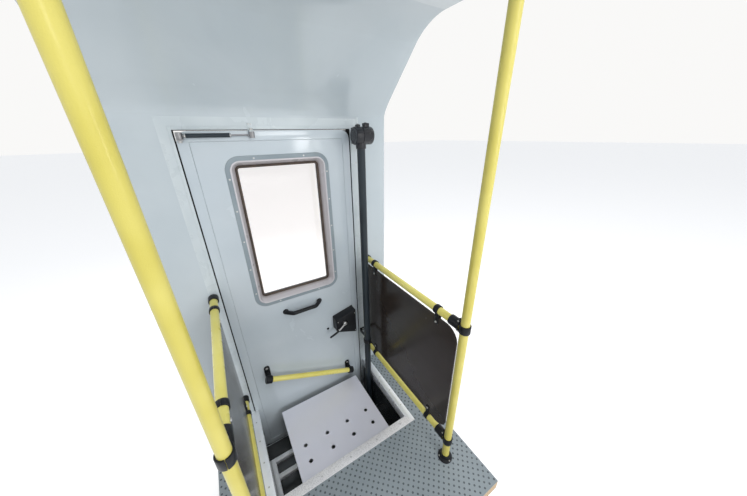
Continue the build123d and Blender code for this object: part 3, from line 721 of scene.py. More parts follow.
UNDER = coated("underframe_black", (0.018, 0.018, 0.02), (0.032, 0.031, 0.032),
               rough=(0.42, 0.62), grain_scale=420.0, grain_depth=0.0007,
               bare=(0.17, 0.14, 0.12))
TRIM_GREY = coated("window_trim_grey", (0.235, 0.285, 0.315), (0.27, 0.32, 0.35),
                   rough=(0.32, 0.46), grain_scale=800.0, grain_depth=0.0003,
                   bare=(0.45, 0.49, 0.51))
ALUMINIUM = drawn_metal("edge_aluminium", (0.93, 0.93, 0.94), (0.80, 0.81, 0.83),
                        rough=(0.30, 0.46), stretch=(0.25, 1.0, 1.0), line_depth=0.0002,
                        metal=0.7)
PEBBLED = pebbled_metal("pebbled_aluminium", (1.0, 0.985, 0.995), (0.93, 0.92, 0.94),
                        rough=(0.28, 0.44))
# The side edging is bare aluminium whose bluish tone is a painted blue reflection.
SIDE_ALUMINIUM_BLUE_SHEEN = drawn_metal("side_aluminium_blue_sheen", (0.95, 0.97, 1.0), (0.84, 0.87, 0.91),
                             rough=(0.26, 0.42), stretch=(1.0, 0.25, 1.0), line_depth=0.0002,
                             metal=0.5)
TREAD_METAL = drawn_metal("tread_sheet", (0.86, 0.86, 0.95), (0.79, 0.79, 0.87),
                          rough=(0.36, 0.50), stretch=(0.4, 1.0, 1.0), line_depth=0.00008,
                          metal=0.4)
# The reveal's brown towards the pane is painted shade.
REVEAL_SHADED = reveal_paint_painted_shade("reveal_paint_painted_shade", INNER + 0.018, INNER + 0.042, (0.60, 0.575, 0.60),
                      (0.30, 0.25, 0.23))
DULL_STEEL = drawn_metal("dull_steel", (0.36, 0.36, 0.37), (0.27, 0.27, 0.28),
                         rough=(0.34, 0.50), stretch=(0.3, 1.0, 1.0))
ZINC = drawn_metal("zinc_steel", (0.66, 0.66, 0.65), (0.52, 0.52, 0.52),
                   rough=(0.28, 0.45), stretch=(1.0, 1.0, 0.3))
GALVANISED = drawn_metal("galvanised_tube", (0.92, 0.94, 0.96), (0.76, 0.78, 0.81),
                         rough=(0.42, 0.6), stretch=(1.0, 1.0, 1.0), line_depth=0.0002,
                         metal=0.4)
VINYL = vinyl("studded_vinyl")
PLY = plywood("board_ply")
RUBBER = rubber("seal_black", (0.010, 0.010, 0.011))
BROWN_RUBBER = rubber("window_rubber_brown", (0.060, 0.045, 0.036))
SMOKED = smoked_sheet("smoked_brown")
GLASS = pane("window_clear")


def dress(node, material):
    """Give a node of the frame its finish."""
    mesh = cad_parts[node].data
    mesh.materials.clear()
    mesh.materials.append(material)


DRESSED = {
    WALL: ("wall_left", "wall_right", "wall_header", "cove_panel"),
    ROOF: ("ceiling_panel",),
    PLY: ("floor_main_board", "floor_side_boards", "cove_ribs"),
    FRAME_GREY: ("door_frame_jambs", "door_frame_header", "door_frame_sill", "door_flap"),
    RUBBER: ("door_seal", "flap_seal"),
    ALUMINIUM: ("rain_gutter",),
    UNDER: ("long_beams", "cross_beams", "mount_plates"),
    WELL: ("stairwell_tray",),
    POLE_YELLOW_SHADED: ("poles",),
    RAIL_YELLOW: ("guard_top_rails", "guard_low_rails", "door_rail"),
    SMOKED: ("guard_panels",),
    POWDER: ("grab_post", "post_foot"),
    ZINC: ("hinge_frame_leaves", "hinge_door_leaves"),
    DULL_STEEL: ("stay_leaf_bracket", "stay_rod"),
    GLASS: ("window_glass",),
}
for finish, names in DRESSED.items():
    for node_name in names:
        dress(node_name, finish)


# Screws and bolts

def bolt_head(bm, place, out, radius):
    """A low domed head with a hexagon socket, standing on a surface."""
    turned(bm, [(radius, 0), (radius, radius * 0.25), (radius * 0.92, radius * 0.5),
                (radius * 0.72, radius * 0.68), (radius * 0.52, radius * 0.72),
                (radius * 0.5, radius * 0.70), (radius * 0.48, radius * 0.25),
                (0, radius * 0.22)], place, out, sides=24, flats=(4, 5, 6))


def flat_screw(bm, place, out, radius):
    """A countersunk head that lies almost flush, with its socket."""
    turned(bm, [(radius, 0), (radius * 0.96, radius * 0.12), (radius * 0.42, radius * 0.14),
                (radius * 0.4, radius * 0.02), (0, 0)], place, out, sides=24, flats=(2, 3))


def screws(name, places, out, radius, body="bay", head=bolt_head, material=ZINC):
    """One piece that holds a set of like screw heads."""
    bm = bmesh.new()
    for place in places:
        head(bm, place, out, radius)
    finished(name, bm, material, body)


# The body shell

FRAME_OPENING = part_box("door_frame_header")[1].x
FRAME_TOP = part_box("door_frame_header")[0].z
FRAME_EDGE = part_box("door_frame_jambs")[1].x
COVE_END = Vector((0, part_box("cove_panel")[0].y, CEILING))
CREASE_LINE = Vector((0, INNER, CREASE))
COVE_SLOPE = (COVE_END - CREASE_LINE).normalized()
CREASE_SOFTNESS = 0.11
HEADER_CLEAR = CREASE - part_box("door_frame_jambs")[1].z - 0.002
FRAME_SCREW_LEVELS = (0.02, 0.36, 0.86, 1.24, 1.56)


def soft_corner(name, corner, first, second, reaches, steps=14):
    """A moulded hollow that rounds the corner between two panels along X."""
    sink = 0.0006
    outward = -(first + second).normalized()
    curve = []
    for i in range(steps + 1):
        t = i / steps
        curve.append(corner + first * reaches[0] * (1 - t) ** 2
                     + second * reaches[1] * t ** 2 + outward * sink)
    section = [corner + outward * 4 * sink] + curve
    bm = bmesh.new()
    prism(bm, [(BAY_LEFT + sink, p.y, p.z) for p in section],
          (BAY_RIGHT - BAY_LEFT - 2 * sink, 0, 0))
    finished(name, bm, WALL, crease=40)


def creases():
    """Hollows where the wall meets the cove and the cove meets the ceiling."""
    soft_corner("crease_hollow", CREASE_LINE, -Z, COVE_SLOPE, (HEADER_CLEAR, CREASE_SOFTNESS))
    soft_corner("ceiling_hollow", COVE_END, -COVE_SLOPE, -Y, (CREASE_SOFTNESS, CREASE_SOFTNESS))


def frame_lips():
    """The folded lips of the door frame, the strip over its right joint, and its screws."""
    low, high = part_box("door_frame_jambs")
    proud, bead, joint, edge = 0.0016, 0.007, 0.006, 0.0007
    side_reach, top_reach = 0.0050, 0.0065
    bottom, lip_top = low.z + 0.0004, FRAME_TOP + bead
    front, back = INNER - proud, INNER + proud
    bm = bmesh.new()
    block(bm, (high.x - joint, front, bottom), (high.x + joint, back, high.z + joint), edge)
    for side in (-1, 1):
        near, far = sorted((side * (FRAME_OPENING - side_reach), side * (FRAME_OPENING + bead)))
        block(bm, (near, front, bottom), (far, back, lip_top), edge)
    block(bm, (side_reach - FRAME_OPENING, front, FRAME_TOP - top_reach),
          (FRAME_OPENING - side_reach, back, lip_top), edge)
    finished("frame_lips", bm, FRAME_GREY)
    places = [(FRAME_OPENING + 0.024, INNER, level) for level in FRAME_SCREW_LEVELS]
    screws("frame_screws", places, -Y, 0.0042, head=flat_screw)


# The floor

TRAY_FLANGE = 0.030
WELL_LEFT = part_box("stairwell_tray")[0].x + TRAY_FLANGE
WELL_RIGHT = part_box("stairwell_tray")[1].x - TRAY_FLANGE
STUD_PITCH = 0.0335
STUD_RADIUS = 0.0053
STUD_RISE = 0.0012
STUD_SINK = 0.0002
STUD_SIDES = 10


def floor_studs(bm, spans):
    """Low round studs on a diagonal lattice, kept whole inside the given spans."""
    rings = ((1.0, 0.0), (0.86, 0.7), (0.55, 1.0))
    longest_span = 2.0
    rows = int(longest_span / STUD_PITCH)
    for row in range(-2 * rows, 2 * rows):
        y = row * STUD_PITCH / 2
        for step in range(-rows, rows):
            x = (step + (row % 2) / 2) * STUD_PITCH
            if not any(low.x + STUD_RADIUS < x < high.x - STUD_RADIUS
                       and low.y + STUD_RADIUS < y < high.y - STUD_RADIUS
                       for low, high in spans):
                continue
            stud = [[bm.verts.new((x + c * STUD_RADIUS * wide, y + s * STUD_RADIUS * wide,
                                   FLOOR - STUD_SINK + STUD_RISE * tall))
                     for c, s in circle(STUD_SIDES)] for wide, tall in rings]
            bridge(bm, stud)
            bm.faces.new(stud[-1])


def studded_covering():
    """The floor sheet round the stairwell, with its raised studs."""
    low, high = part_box("floor_covering")
    front_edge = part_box("floor_main_board")[1].y
    spans = (
        (Vector((low.x, low.y, low.z)), Vector((high.x, front_edge, high.z))),
        (Vector((low.x, front_edge, low.z)), Vector((WELL_LEFT, high.y, high.z))),
        (Vector((WELL_RIGHT, front_edge, low.z)), Vector((high.x, high.y, high.z))),
    )
    bm = bmesh.new()
    for near, far in spans:
        block(bm, near, far)
    floor_studs(bm, spans)
    finished("floor_sheet", bm, VINYL, replaces=("floor_covering",),
             crease=40)


# The stairwell

EDGING_SCREWS_X = (-0.30, -0.14, 0.02, 0.18, 0.34)
EDGING_SCREWS_Y = (0.11, 0.23, 0.35, 0.47)
SHEET = 0.004
HOLE_RADIUS = 0.011
HOLE_PITCH_X = 0.130
HOLE_PITCH_Y = 0.090
HOLE_ROW = 0.190
TUBE = 0.025


def stairwell_edging():
    """Mitred aluminium angle round the well, with countersunk screws."""
    low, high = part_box("edging_front")
    top, thick = high.z, high.z - FLOOR
    inner_y, outer_y = high.y, low.y
    lap, seam = 0.001, 0.0006
    bm = bmesh.new()
    prism(bm, [(low.x, outer_y, FLOOR), (high.x, outer_y, FLOOR),
               (WELL_RIGHT - thick, inner_y, FLOOR), (WELL_LEFT + thick, inner_y, FLOOR)],
          (0, 0, thick), 0.0008)
    block(bm, (WELL_LEFT + thick, inner_y - thick, low.z),
          (WELL_RIGHT - thick, inner_y, FLOOR + lap), 0.0006)
    finished("front_edging", bm, PEBBLED, replaces=("edging_front",))
    bm = bmesh.new()
    for outer, inner in ((low.x, WELL_LEFT + thick), (high.x, WELL_RIGHT - thick)):
        prism(bm, [(outer, outer_y + seam, FLOOR), (inner, inner_y + seam, FLOOR),
                   (inner, INNER, FLOOR), (outer, INNER, FLOOR)], (0, 0, thick), 0.0008)
        wall = sorted((inner, inner + math.copysign(thick, inner)))
        block(bm, (wall[0], inner_y, low.z), (wall[1], INNER, FLOOR + lap), 0.0006)
    finished("side_edging", bm, SIDE_ALUMINIUM_BLUE_SHEEN,
             replaces=("edging_sides",))
    from_edge = 0.017
    places = [(x, (outer_y + inner_y) / 2, top) for x in EDGING_SCREWS_X]
    places += [(x, y, top) for x in (low.x + from_edge, high.x - from_edge)
               for y in EDGING_SCREWS_Y]
    screws("edging_screws", places, Z, 0.0042, head=flat_screw)


def tread():
    """The folded tread sheet with its drain holes, each with a raised rim."""
    low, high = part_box("step_tread")
    centre, half = (low + high) / 2, (high - low) / 2
    holes = [(centre.x + (column - 1.5) * HOLE_PITCH_X, HOLE_ROW + (row - 0.5) * HOLE_PITCH_Y)
             for column in range(4) for row in range(2)]
    bm = bmesh.new()
    plate(bm, ring_box((centre.x, centre.y), half.x, half.y, 0.004, 4),
          [ring_hole(hole, HOLE_RADIUS) for hole in holes], (high.z - SHEET, high.z), 0.0011,
          lambda u, v, depth: Vector((u, v, depth)))
    bend = 0.001
    for near, far in (((low.x, low.y + bend), (low.x + SHEET, high.y - bend)),
                      ((high.x - SHEET, low.y + bend), (high.x, high.y - bend)),
                      ((low.x + bend, low.y), (high.x - bend, low.y + SHEET)),
                      ((low.x + bend, high.y - SHEET), (high.x - bend, high.y))):
        block(bm, (*near, low.z), (*far, high.z - SHEET / 2), 0.0009)
    finished("tread", bm, TREAD_METAL, replaces=("step_tread",))
    bm = bmesh.new()
    for hole in holes:
        sleeve(bm, (*hole, high.z - SHEET), (*hole, high.z + 0.0011), HOLE_RADIUS + 0.0022,
               HOLE_RADIUS - 0.0003, edge=0.0007)
    finished("tread_hole_rims", bm, TREAD_METAL)


def ladder():
    """The tread's frame of square tube: bright at its left and between, black at its right as painted
    shade deep in the well.
    """
    low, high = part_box("ladder_frame")
    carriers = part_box("tread_carriers")
    bar_rows = (high.y - TUBE, carriers[0].y)
    lap, weld_clear = 0.001, 0.003
    left, right = bmesh.new(), bmesh.new()
    for bm, rail_x, carrier_x, weld_x in (
            (left, low.x, carriers[0].x, low.x + TUBE),
            (right, high.x - TUBE, carriers[1].x - TUBE, high.x - TUBE)):
        block(bm, (rail_x, low.y, high.z - TUBE), (rail_x + TUBE, high.y, high.z), 0.003, 3)
        for y in (low.y, high.y - TUBE):
            block(bm, (rail_x, y, low.z), (rail_x + TUBE, y + TUBE, high.z - TUBE + lap),
                  0.003, 3)
        for y in bar_rows:
            block(bm, (carrier_x, y, high.z - lap), (carrier_x + TUBE, y + TUBE, carriers[1].z),
                  0.003, 3)
            for edge_y in (y, y + TUBE):
                bar(bm, (weld_x, edge_y, high.z - TUBE + weld_clear),
                    (weld_x, edge_y, high.z - weld_clear), 0.0028, sides=12, edge=0.001)
    for y in bar_rows:
        block(left, (low.x + TUBE - lap, y, high.z - TUBE),
              (high.x - TUBE + lap, y + TUBE, high.z), 0.003, 3)
    finished("ladder", left, GALVANISED,
             replaces=("ladder_frame", "tread_carriers"))
    # Painted shade: the far side is black for the shade under the tread.
    finished("ladder_far_side_shade_black", right, UNDER)


# Poles, rails and guards

POLE_LOW, POLE_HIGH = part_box("poles")
POLE_RADIUS = (POLE_HIGH.y - POLE_LOW.y) / 2
POLE_X = (POLE_LOW.x + POLE_RADIUS, POLE_HIGH.x - POLE_RADIUS)
POLE_Y = middle("poles").y
RAIL_Z = (middle("guard_top_rails").z, middle("guard_low_rails").z)
RAIL_RADIUS = (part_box("guard_top_rails")[1].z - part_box("guard_top_rails")[0].z) / 2
CLIP_TAB_HALF = 0.017
CLIP_ROWS = (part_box("panel_clips")[1].y - CLIP_TAB_HALF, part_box("panel_clips")[0].y + CLIP_TAB_HALF)


def pole_flanges():
    """Moulded cups at the poles' feet and heads, with domed bolts."""
    bolt_circle, bolt_seat = 0.0302, 0.0088
    bm = bmesh.new()
    bolts = {1: [], -1: []}
    for x in POLE_X:
        for level, up, rise in ((FLOOR, 1, 0.030), (CEILING, -1, 0.026)):
            turned(bm, [(POLE_RADIUS, 0.0), (0.0350, 0.0), (0.036, 0.0012), (0.036, 0.0056),
                        (0.0346, 0.0078), (0.032, 0.0092), (0.0272, 0.0104),
                        (0.0246, 0.0125), (0.0232, rise - 0.003), (0.0222, rise - 0.0008),
                        (0.0200, rise), (POLE_RADIUS, rise)],
                   (x, POLE_Y, level), (0, 0, up), sides=56)
            for turn in (30, 150, 270):
                angle = math.radians(turn)
                bolts[up].append((x + bolt_circle * math.cos(angle),
                                  POLE_Y + bolt_circle * math.sin(angle), level + up * bolt_seat))
    finished("pole_cups", bm, MOULDED,
             replaces=("pole_floor_flanges", "pole_ceiling_flanges"))
    screws("pole_foot_bolts", bolts[1], Z, 0.0038)
    screws("pole_head_bolts", bolts[-1], -Z, 0.0038)


def rail_clamps():
    """Tees in two halves, bolted together round each rail and its pole."""
    split = 0.0009
    pole_half, pole_outer = 0.018, 0.0232
    rail_start, rail_end, rail_outer = 0.020, 0.072, 0.0222
    ear_start, ear_end, ear_out, ear_level, ear_half = 0.012, 0.036, 0.0105, 0.0215, 0.0065
    bolt_out, bolt_y, bolt_level = 0.0102, POLE_Y + 0.0275, 0.0225
    bm = bmesh.new()
    bolts = {1: [], -1: []}
    for x in POLE_X:
        for z in RAIL_Z:
            half_clamps(bm, (x, POLE_Y, z - pole_half), (x, POLE_Y, z + pole_half), pole_outer,
                        POLE_RADIUS, split)
            half_clamps(bm, (x, POLE_Y + rail_start, z), (x, POLE_Y + rail_end, z), rail_outer,
                        RAIL_RADIUS, split)
            for towards in (-1, 1):
                near, far = sorted((x + towards * split, x + towards * ear_out))
                for end in (-1, 1):
                    ear = z + end * ear_level
                    block(bm, (near, POLE_Y + ear_start, ear - ear_half),
                          (far, POLE_Y + ear_end, ear + ear_half), 0.0026, 3)
                    bolts[towards].append((x + towards * bolt_out, bolt_y, z + end * bolt_level))
    finished("rail_tee_clamps", bm, MOULDED, replaces=("rail_tees",))
    screws("tee_bolts_left", bolts[-1], -X, 0.0040)
    screws("tee_bolts_right", bolts[1], X, 0.0040)


def wall_ends():
    """Plain cups that hold the rails at the wall, each pinned by two screws."""
    screw_out, screw_y = 0.0214, INNER - 0.019
    bm = bmesh.new()
    places = {1: [], -1: []}
    for x in POLE_X:
        for z in RAIL_Z:
            turned(bm, [(RAIL_RADIUS, 0), (0.0218, 0), (0.0222, 0.0006), (0.0222, 0.0340),
                        (0.0217, 0.0362), (0.0206, 0.0376), (0.0192, 0.038),
                        (RAIL_RADIUS, 0.038)], (x, INNER, z), -Y, sides=48)
            for side in (-1, 1):
                places[side].append((x + side * screw_out, screw_y, z))
    finished("rail_wall_cups", bm, MOULDED, replaces=("wall_sockets",))
    screws("cup_screws_left", places[-1], -X, 0.0030)
    screws("cup_screws_right", places[1], X, 0.0030)


def guard_clips():
    """Moulded clips round the rails, their tabs bolted through the panels."""
    # Tab, strap and root: X from and to, half length in Y, Z from and to, eased edge
    parts = ((0.003, 0.0082, CLIP_TAB_HALF, 0.0175, 0.085, 0.0023),
             (-0.0068, -0.003, 0.0115, 0.0175, 0.076, 0.0017),
             (-0.0066, 0.0076, 0.0118, 0.0172, 0.031, 0.0022))
    ring_half, ring_outer, split, bolt_level = 0.012, 0.0212, 0.0004, 0.064
    bm = bmesh.new()
    heads, nuts = [], []
    for x in POLE_X:
        for z, towards in zip(RAIL_Z, (-1, 1)):
            for y in CLIP_ROWS:
                half_clamps(bm, (x, y - ring_half, z), (x, y + ring_half, z), ring_outer,
                            RAIL_RADIUS, split)
                for near, far, half, first, last, edge in parts:
                    bottom, top = sorted((z + towards * first, z + towards * last))
                    block(bm, (x + near, y - half, bottom), (x + far, y + half, top), edge, 3)
                heads.append((x + 0.0080, y, z + towards * bolt_level))
                nuts.append((x - 0.0067, y, z + towards * bolt_level))
    finished("guard_clip_set", bm, MOULDED, replaces=("panel_clips",))
    screws("clip_bolts", heads, X, 0.0060)
    screws("clip_nuts", nuts, -X, 0.0055)


# The grab post

POST = middle("grab_post")
POST_BORE = 0.0202
DRUM_RADIUS = 0.040


def post_drum():
    """The drum that holds the post's head, its bolted lugs and its arm to the frame."""
    low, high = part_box("post_head")
    level = high.z - DRUM_RADIUS
    far = (high.x - low.x) / 2
    near = far * 0.68
    bm = bmesh.new()
    turned(bm, [(0.012, -near), (0.020, -near - 0.0002), (0.031, -near + 0.0015),
                (0.0335, -near + 0.0005), (0.0385, -near + 0.0015), (0.040, -near + 0.005),
                (0.040, -0.0018), (0.0392, -0.001), (0.0365, -0.0007), (0.0365, 0.0007),
                (0.0392, 0.001), (0.040, 0.0018), (0.040, far - 0.005),
                (0.0385, far - 0.0015), (0.0335, far - 0.0005), (0.031, far - 0.0015),
                (0.020, far - 0.002), (0.012, far - 0.002)], (POST.x, POST.y, level), X, 64)
    # Each lug: place along X from the post, half width, height above the drum's middle
    lugs = ((-0.015, 0.009, 0.0490), (0.028, 0.014, 0.0555))
    lug_half, lug_root = 0.013, 0.030
    for along, half, rise in lugs:
        block(bm, (POST.x + along - half, POST.y - lug_half, level + lug_root),
              (POST.x + along + half, POST.y + lug_half, level + rise), 0.0045, 4)
    arm_x, arm_half, arm_rise = (FRAME_OPENING + FRAME_EDGE) / 2, 0.017, 0.025
    pad_half, pad_rise, pad_thick = 0.018, 0.038, 0.009
    block(bm, (arm_x - arm_half, POST.y + 0.018, level - arm_rise),
          (arm_x + arm_half, INNER, level + arm_rise), 0.004, 4)
    block(bm, (arm_x - pad_half, INNER - pad_thick, level - pad_rise),
          (arm_x + pad_half, INNER, level + pad_rise), 0.003, 3)
    sleeve(bm, (POST.x, POST.y, level - 0.058), (POST.x, POST.y, level - 0.030), 0.0245,
           POST_BORE, 48, 0.0018)
    finished("post_drum", bm, DRUM_BLACK, replaces=("post_head",))
    screws("drum_bolts", [(POST.x + along, POST.y, level + rise - 0.0005)
                          for along, _, rise in lugs], Z, 0.0056, material=DULL_STEEL)
    screws("arm_screws", [(arm_x, INNER - pad_thick, level + end * 0.0315) for end in (-1, 1)],
           -Y, 0.0036)


def post_tie_and_foot():
    """The low tie, a ring on an angled strap, and the foot's four bolts."""
    low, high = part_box("post_tie")
    tie = (low.z + high.z) / 2
    strap, clear, trim = 0.005, 0.0002, 0.001
    boss_half, boss_start, boss_end = 0.008, 0.036, 0.021
    near = FRAME_OPENING + clear
    bm = bmesh.new()
    sleeve(bm, (POST.x, POST.y, low.z), (POST.x, POST.y, high.z), 0.0252, POST_BORE, 48, 0.0016)
    block(bm, (near, POST.y + 0.017, low.z + trim), (near + strap, INNER, high.z - trim),
          0.0014, 3)
    block(bm, (near, INNER - strap, low.z + trim), (high.x, INNER, high.z - trim), 0.0014, 3)
    block(bm, (POST.x - boss_half, POST.y - boss_start, tie - boss_half),
          (POST.x + boss_half, POST.y - boss_end, tie + boss_half), 0.0025, 3)
    finished("post_tie_ring", bm, MOULDED, replaces=("post_tie",))
    screws("tie_screws", [(FRAME_OPENING + 0.023, INNER - strap, tie)], -Y, 0.0045)
    low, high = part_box("post_foot")
    from_edge, second_row = 0.009, 0.040
    screws("post_foot_bolts", [(x, y, high.z) for x in (low.x + from_edge, low.x + second_row)
                               for y in (low.y + from_edge, high.y - from_edge)], Z, 0.0052)


# The door leaf

LEAF_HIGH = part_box("door_side_profiles")[1]
PANEL_LOW, PANEL_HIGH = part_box("door_leaf")
WINDOW = middle("window_glass")
SIGHT_X = 0.208
SIGHT_Z = 0.3575
SIGHT_CORNER = 0.036
SPLAY = 0.017
TRIM_WIDTH = 0.026
TRIM_THICK = 0.003


def door_panel():
    """The moulded panel with its window opening, and the mitred edge profile round it."""
    centre = (PANEL_LOW + PANEL_HIGH) / 2
    half = (PANEL_HIGH - PANEL_LOW) / 2
    seam, clear, corner = 0.0003, 0.0025, 0.003
    bm = bmesh.new()
    plate(bm, ring_box((centre.x, centre.z), half.x - seam, half.z - seam, corner, 4),
          [ring_box((WINDOW.x, WINDOW.z), SIGHT_X + clear, SIGHT_Z + clear,
                    SIGHT_CORNER + clear, 10)],
          (INNER, OUTER), 0.0014, lambda u, v, depth: Vector((u, depth, v)))
    finished("door_skin", bm, LEAF, "door", ("door_leaf",))
    width = LEAF_HIGH.x - PANEL_HIGH.x
    bm = bmesh.new()
    framed(bm, centre, half.x, half.z, corner,
           [(seam, INNER + 0.0014), (0.0017, INNER), (width - 0.0022, INNER),
            (width - 0.0006, INNER + 0.0006), (width, INNER + 0.0022),
            (width, OUTER - 0.0022), (width - 0.0006, OUTER - 0.0006), (width - 0.0022, OUTER),
            (0.0017, OUTER), (seam, OUTER - 0.0014)], 4)
    finished("door_edge_profile", bm, LEAF, "door",
             ("door_side_profiles", "door_end_profiles"))


def window_ring(name, section, material, replaces=(), crease=32):
    """One ring round the window's sight opening."""
    bm = bmesh.new()
    framed(bm, WINDOW, SIGHT_X, SIGHT_Z, SIGHT_CORNER, section, 12)
    finished(name, bm, material, "door", replaces, crease)


def door_window():
    """Inner and outer trims, the splayed reveal, and the rubber of the pane."""
    low, high = INNER - TRIM_THICK, OUTER + TRIM_THICK
    back, pane_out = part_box("window_rubber")[0].y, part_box("window_glass")[1].y + 0.0002
    wide = TRIM_WIDTH
    window_ring("window_inner_ring", [
        (0.0004, INNER + 0.0012), (0.0002, low + 0.0018), (0.0008, low + 0.0004),
        (0.0022, low), (0.0038, low + 0.0004), (0.0048, low + 0.0012), (0.0062, low + 0.0012),
        (wide - 0.004, low + 0.0004), (wide - 0.0018, low + 0.0006),
        (wide - 0.0004, low + 0.0018), (wide, INNER + 0.0004), (0.002, INNER + 0.0004),
    ], TRIM_GREY, ("window_inner_trim",), 28)
    window_ring("window_reveal", [
        (0.0066, low + 0.0016), (0.0066, low + 0.0002), (0.0058, low - 0.0009),
        (0.0044, low - 0.0013), (0.0022, low - 0.0013), (0.0006, low - 0.0008),
        (-0.0006, low + 0.0006), (-0.0014, low + 0.0042), (-SPLAY + 0.0008, back - 0.0016),
        (-SPLAY, back), (0.002, back), (0.002, low + 0.0016),
    ], REVEAL_SHADED, crease=28)
    window_ring("window_band", [
        (-0.0270, back + 0.0020), (-0.0274, back - 0.0016), (-0.0262, back - 0.0052),
        (-0.0235, back - 0.0068), (-0.0195, back - 0.0068), (-0.0168, back - 0.0050),
        (-0.0150, back - 0.0010), (-0.0150, back + 0.0020),
    ], BROWN_RUBBER, ("window_rubber",))
    window_ring("window_outer_ring", [
        (-0.0270, pane_out), (-0.0270, high - 0.0010), (-0.0258, high), (0.0, high),
        (wide - 0.0025, high - 0.0003), (wide - 0.0006, high - 0.0012), (wide, OUTER),
        (0.002, OUTER), (0.002, pane_out),
    ], TRIM_GREY, ("window_outer_trim",), 28)


def window_screws():
    """Countersunk screws along both trims."""
    reach_x, reach_z = SIGHT_X + 0.0145, SIGHT_Z + 0.0145
    for name, y, out in (("window_screws_in", INNER - TRIM_THICK + 0.0007, -Y),
                         ("window_screws_out", OUTER + TRIM_THICK - 0.0006, Y)):
        places = [(WINDOW.x + side * reach_x, y, WINDOW.z + reach_z * share)
                  for side in (-1, 1) for share in (-0.78, -0.40, 0.0, 0.40, 0.78)]
        places += [(WINDOW.x + reach_x * share, y, WINDOW.z + side * reach_z)
                   for side in (-1, 1) for share in (-0.5, 0.5)]
        screws(name, places, out, 0.0040, "door", flat_screw)


# Handles, lock and rail on the leaf

def bow_handle():
    """The thick bow handle, its ends flared where they meet the leaf."""
    low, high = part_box("pull_handle")
    level = (low.z + high.z) / 2
    ends = (low.x + 0.013, high.x - 0.013)
    front = low.y + 0.010
    splay, leg = 0.034, INNER - 0.010
    path = bent_path([(ends[0], INNER, level), (ends[0], leg, level),
                      (ends[0] + splay, front, level), (ends[1] - splay, front, level),
                      (ends[1], leg, level), (ends[1], INNER, level)], 0.014)
    bm = bmesh.new()
    swept(bm, path, 0.0114, 28)
    for end in ends:
        turned(bm, [(0.0112, 0.0), (0.0154, 0.0), (0.0163, 0.0010), (0.0163, 0.0038),
                    (0.0154, 0.0060), (0.0134, 0.0082), (0.0112, 0.0098)],
               (end, INNER, level), -Y, 36)
    finished("bow_grip", bm, MOULDED, "door", ("pull_handle",), 45)


LOCK_LOW, LOCK_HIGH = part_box("lock_case")
LOCK_LEFT = (LOCK_LOW.x, LOCK_LOW.z + 0.055, LOCK_HIGH.z - 0.034)
LOCK_RIGHT = (LOCK_HIGH.x, LOCK_LOW.z, LOCK_HIGH.z)
LEVER_PIVOT = (0.238, 0.606)
LEVER_TIP = (0.135, 0.545)
LEAF_PLUG = (0.147, 0.554)
LOCK_SCREWS = ((LOCK_RIGHT[0] - 0.0115, 0.512), (LOCK_RIGHT[0] - 0.0115, 0.648),
               (LOCK_LEFT[0] + 0.0115, 0.566), (LOCK_LEFT[0] + 0.0115, 0.622))


def lock_outline(inset, y):
    """The cover's four corners, moved in from its edges, at a distance in Y."""
    left, right = LOCK_LEFT[0] + inset, LOCK_RIGHT[0] - inset
    return [(left, y, LOCK_LEFT[1] + inset), (left, y, LOCK_LEFT[2] - inset),
            (right, y, LOCK_RIGHT[2] - inset), (right, y, LOCK_RIGHT[1] + inset)]


def lock_cover():
    """The lock's moulded cover, taller at its right, with the ring under its lever."""
    front, face, rim = LOCK_LOW.y, LOCK_LOW.y + 0.0004, 0.005
    bm = bmesh.new()
    prism(bm, lock_outline(0.0008, face), (0, LOCK_HIGH.y - face, 0), 0.0075, 5)
    prism(bm, lock_outline(0.0, LOCK_HIGH.y - rim), (0, rim, 0), 0.0016, 3)
    prism(bm, lock_outline(0.016, front - 0.0002), (0, 0.004, 0), 0.0012, 3)
    turned(bm, [(0.0185, 0.0), (0.0185, 0.0010), (0.0175, 0.0020), (0.0130, 0.0024)],
           (LEVER_PIVOT[0], front, LEVER_PIVOT[1]), -Y, 40)
    finished("lock_cover", bm, MOULDED, "door", ("lock_case",))
    screws("lock_screws", [(x, face, z) for x, z in LOCK_SCREWS], -Y, 0.0032, "door")


def lever():
    """The thin bent lever on its hub, with a black sleeve over its far end."""
    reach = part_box("lock_lever")[0].y + 0.0055
    hub = Vector((LEVER_PIVOT[0], reach, LEVER_PIVOT[1]))
    tip = Vector((LEVER_TIP[0], reach, LEVER_TIP[1]))
    sag, steps, sleeve_from, bare_to = Vector((0.0, 0.0, -0.0095)), 14, 6, 9
    path = [hub.lerp(tip, i / steps) + sag * math.sin(math.pi * i / steps)
            for i in range(steps + 1)]
    bm = bmesh.new()
    turned(bm, [(0.0128, 0), (0.0136, 0.002), (0.0136, 0.0150), (0.0126, 0.0180),
                (0.0090, 0.0200), (0.0, 0.0206)], (LEVER_PIVOT[0], LOCK_LOW.y, LEVER_PIVOT[1]),
           -Y, 40)
    swept(bm, path[:bare_to], 0.0050, 20)
    finished("lever", bm, ZINC, "door", ("lock_lever",), 40)
    bm = bmesh.new()
    swept(bm, path[sleeve_from:], 0.0063, 24)
    turned(bm, [(0.0063, 0.0), (0.0060, 0.0020), (0.0048, 0.0040), (0.0026, 0.0052),
                (0.0, 0.0055)], path[-1], (path[-1] - path[-3]).normalized(), 24)
    finished("lever_sleeve", bm, MOULDED, "door", crease=40)


def leaf_plug():
    """A small domed plug in the leaf beside the lever."""
    bm = bmesh.new()
    turned(bm, [(0.0078, 0.0), (0.0080, 0.0006), (0.0078, 0.0016), (0.0062, 0.0024),
                (0.0, 0.0027)], (LEAF_PLUG[0], INNER, LEAF_PLUG[1]), -Y, 28)
    finished("leaf_plug", bm, MOULDED, "door")


DOOR_RAIL_OUT = 0.050
DOOR_RAIL_LEFT = Vector((-0.264, INNER - DOOR_RAIL_OUT, FLOOR + 0.256))
DOOR_RAIL_RIGHT = Vector((0.272, INNER - DOOR_RAIL_OUT, FLOOR + 0.016))


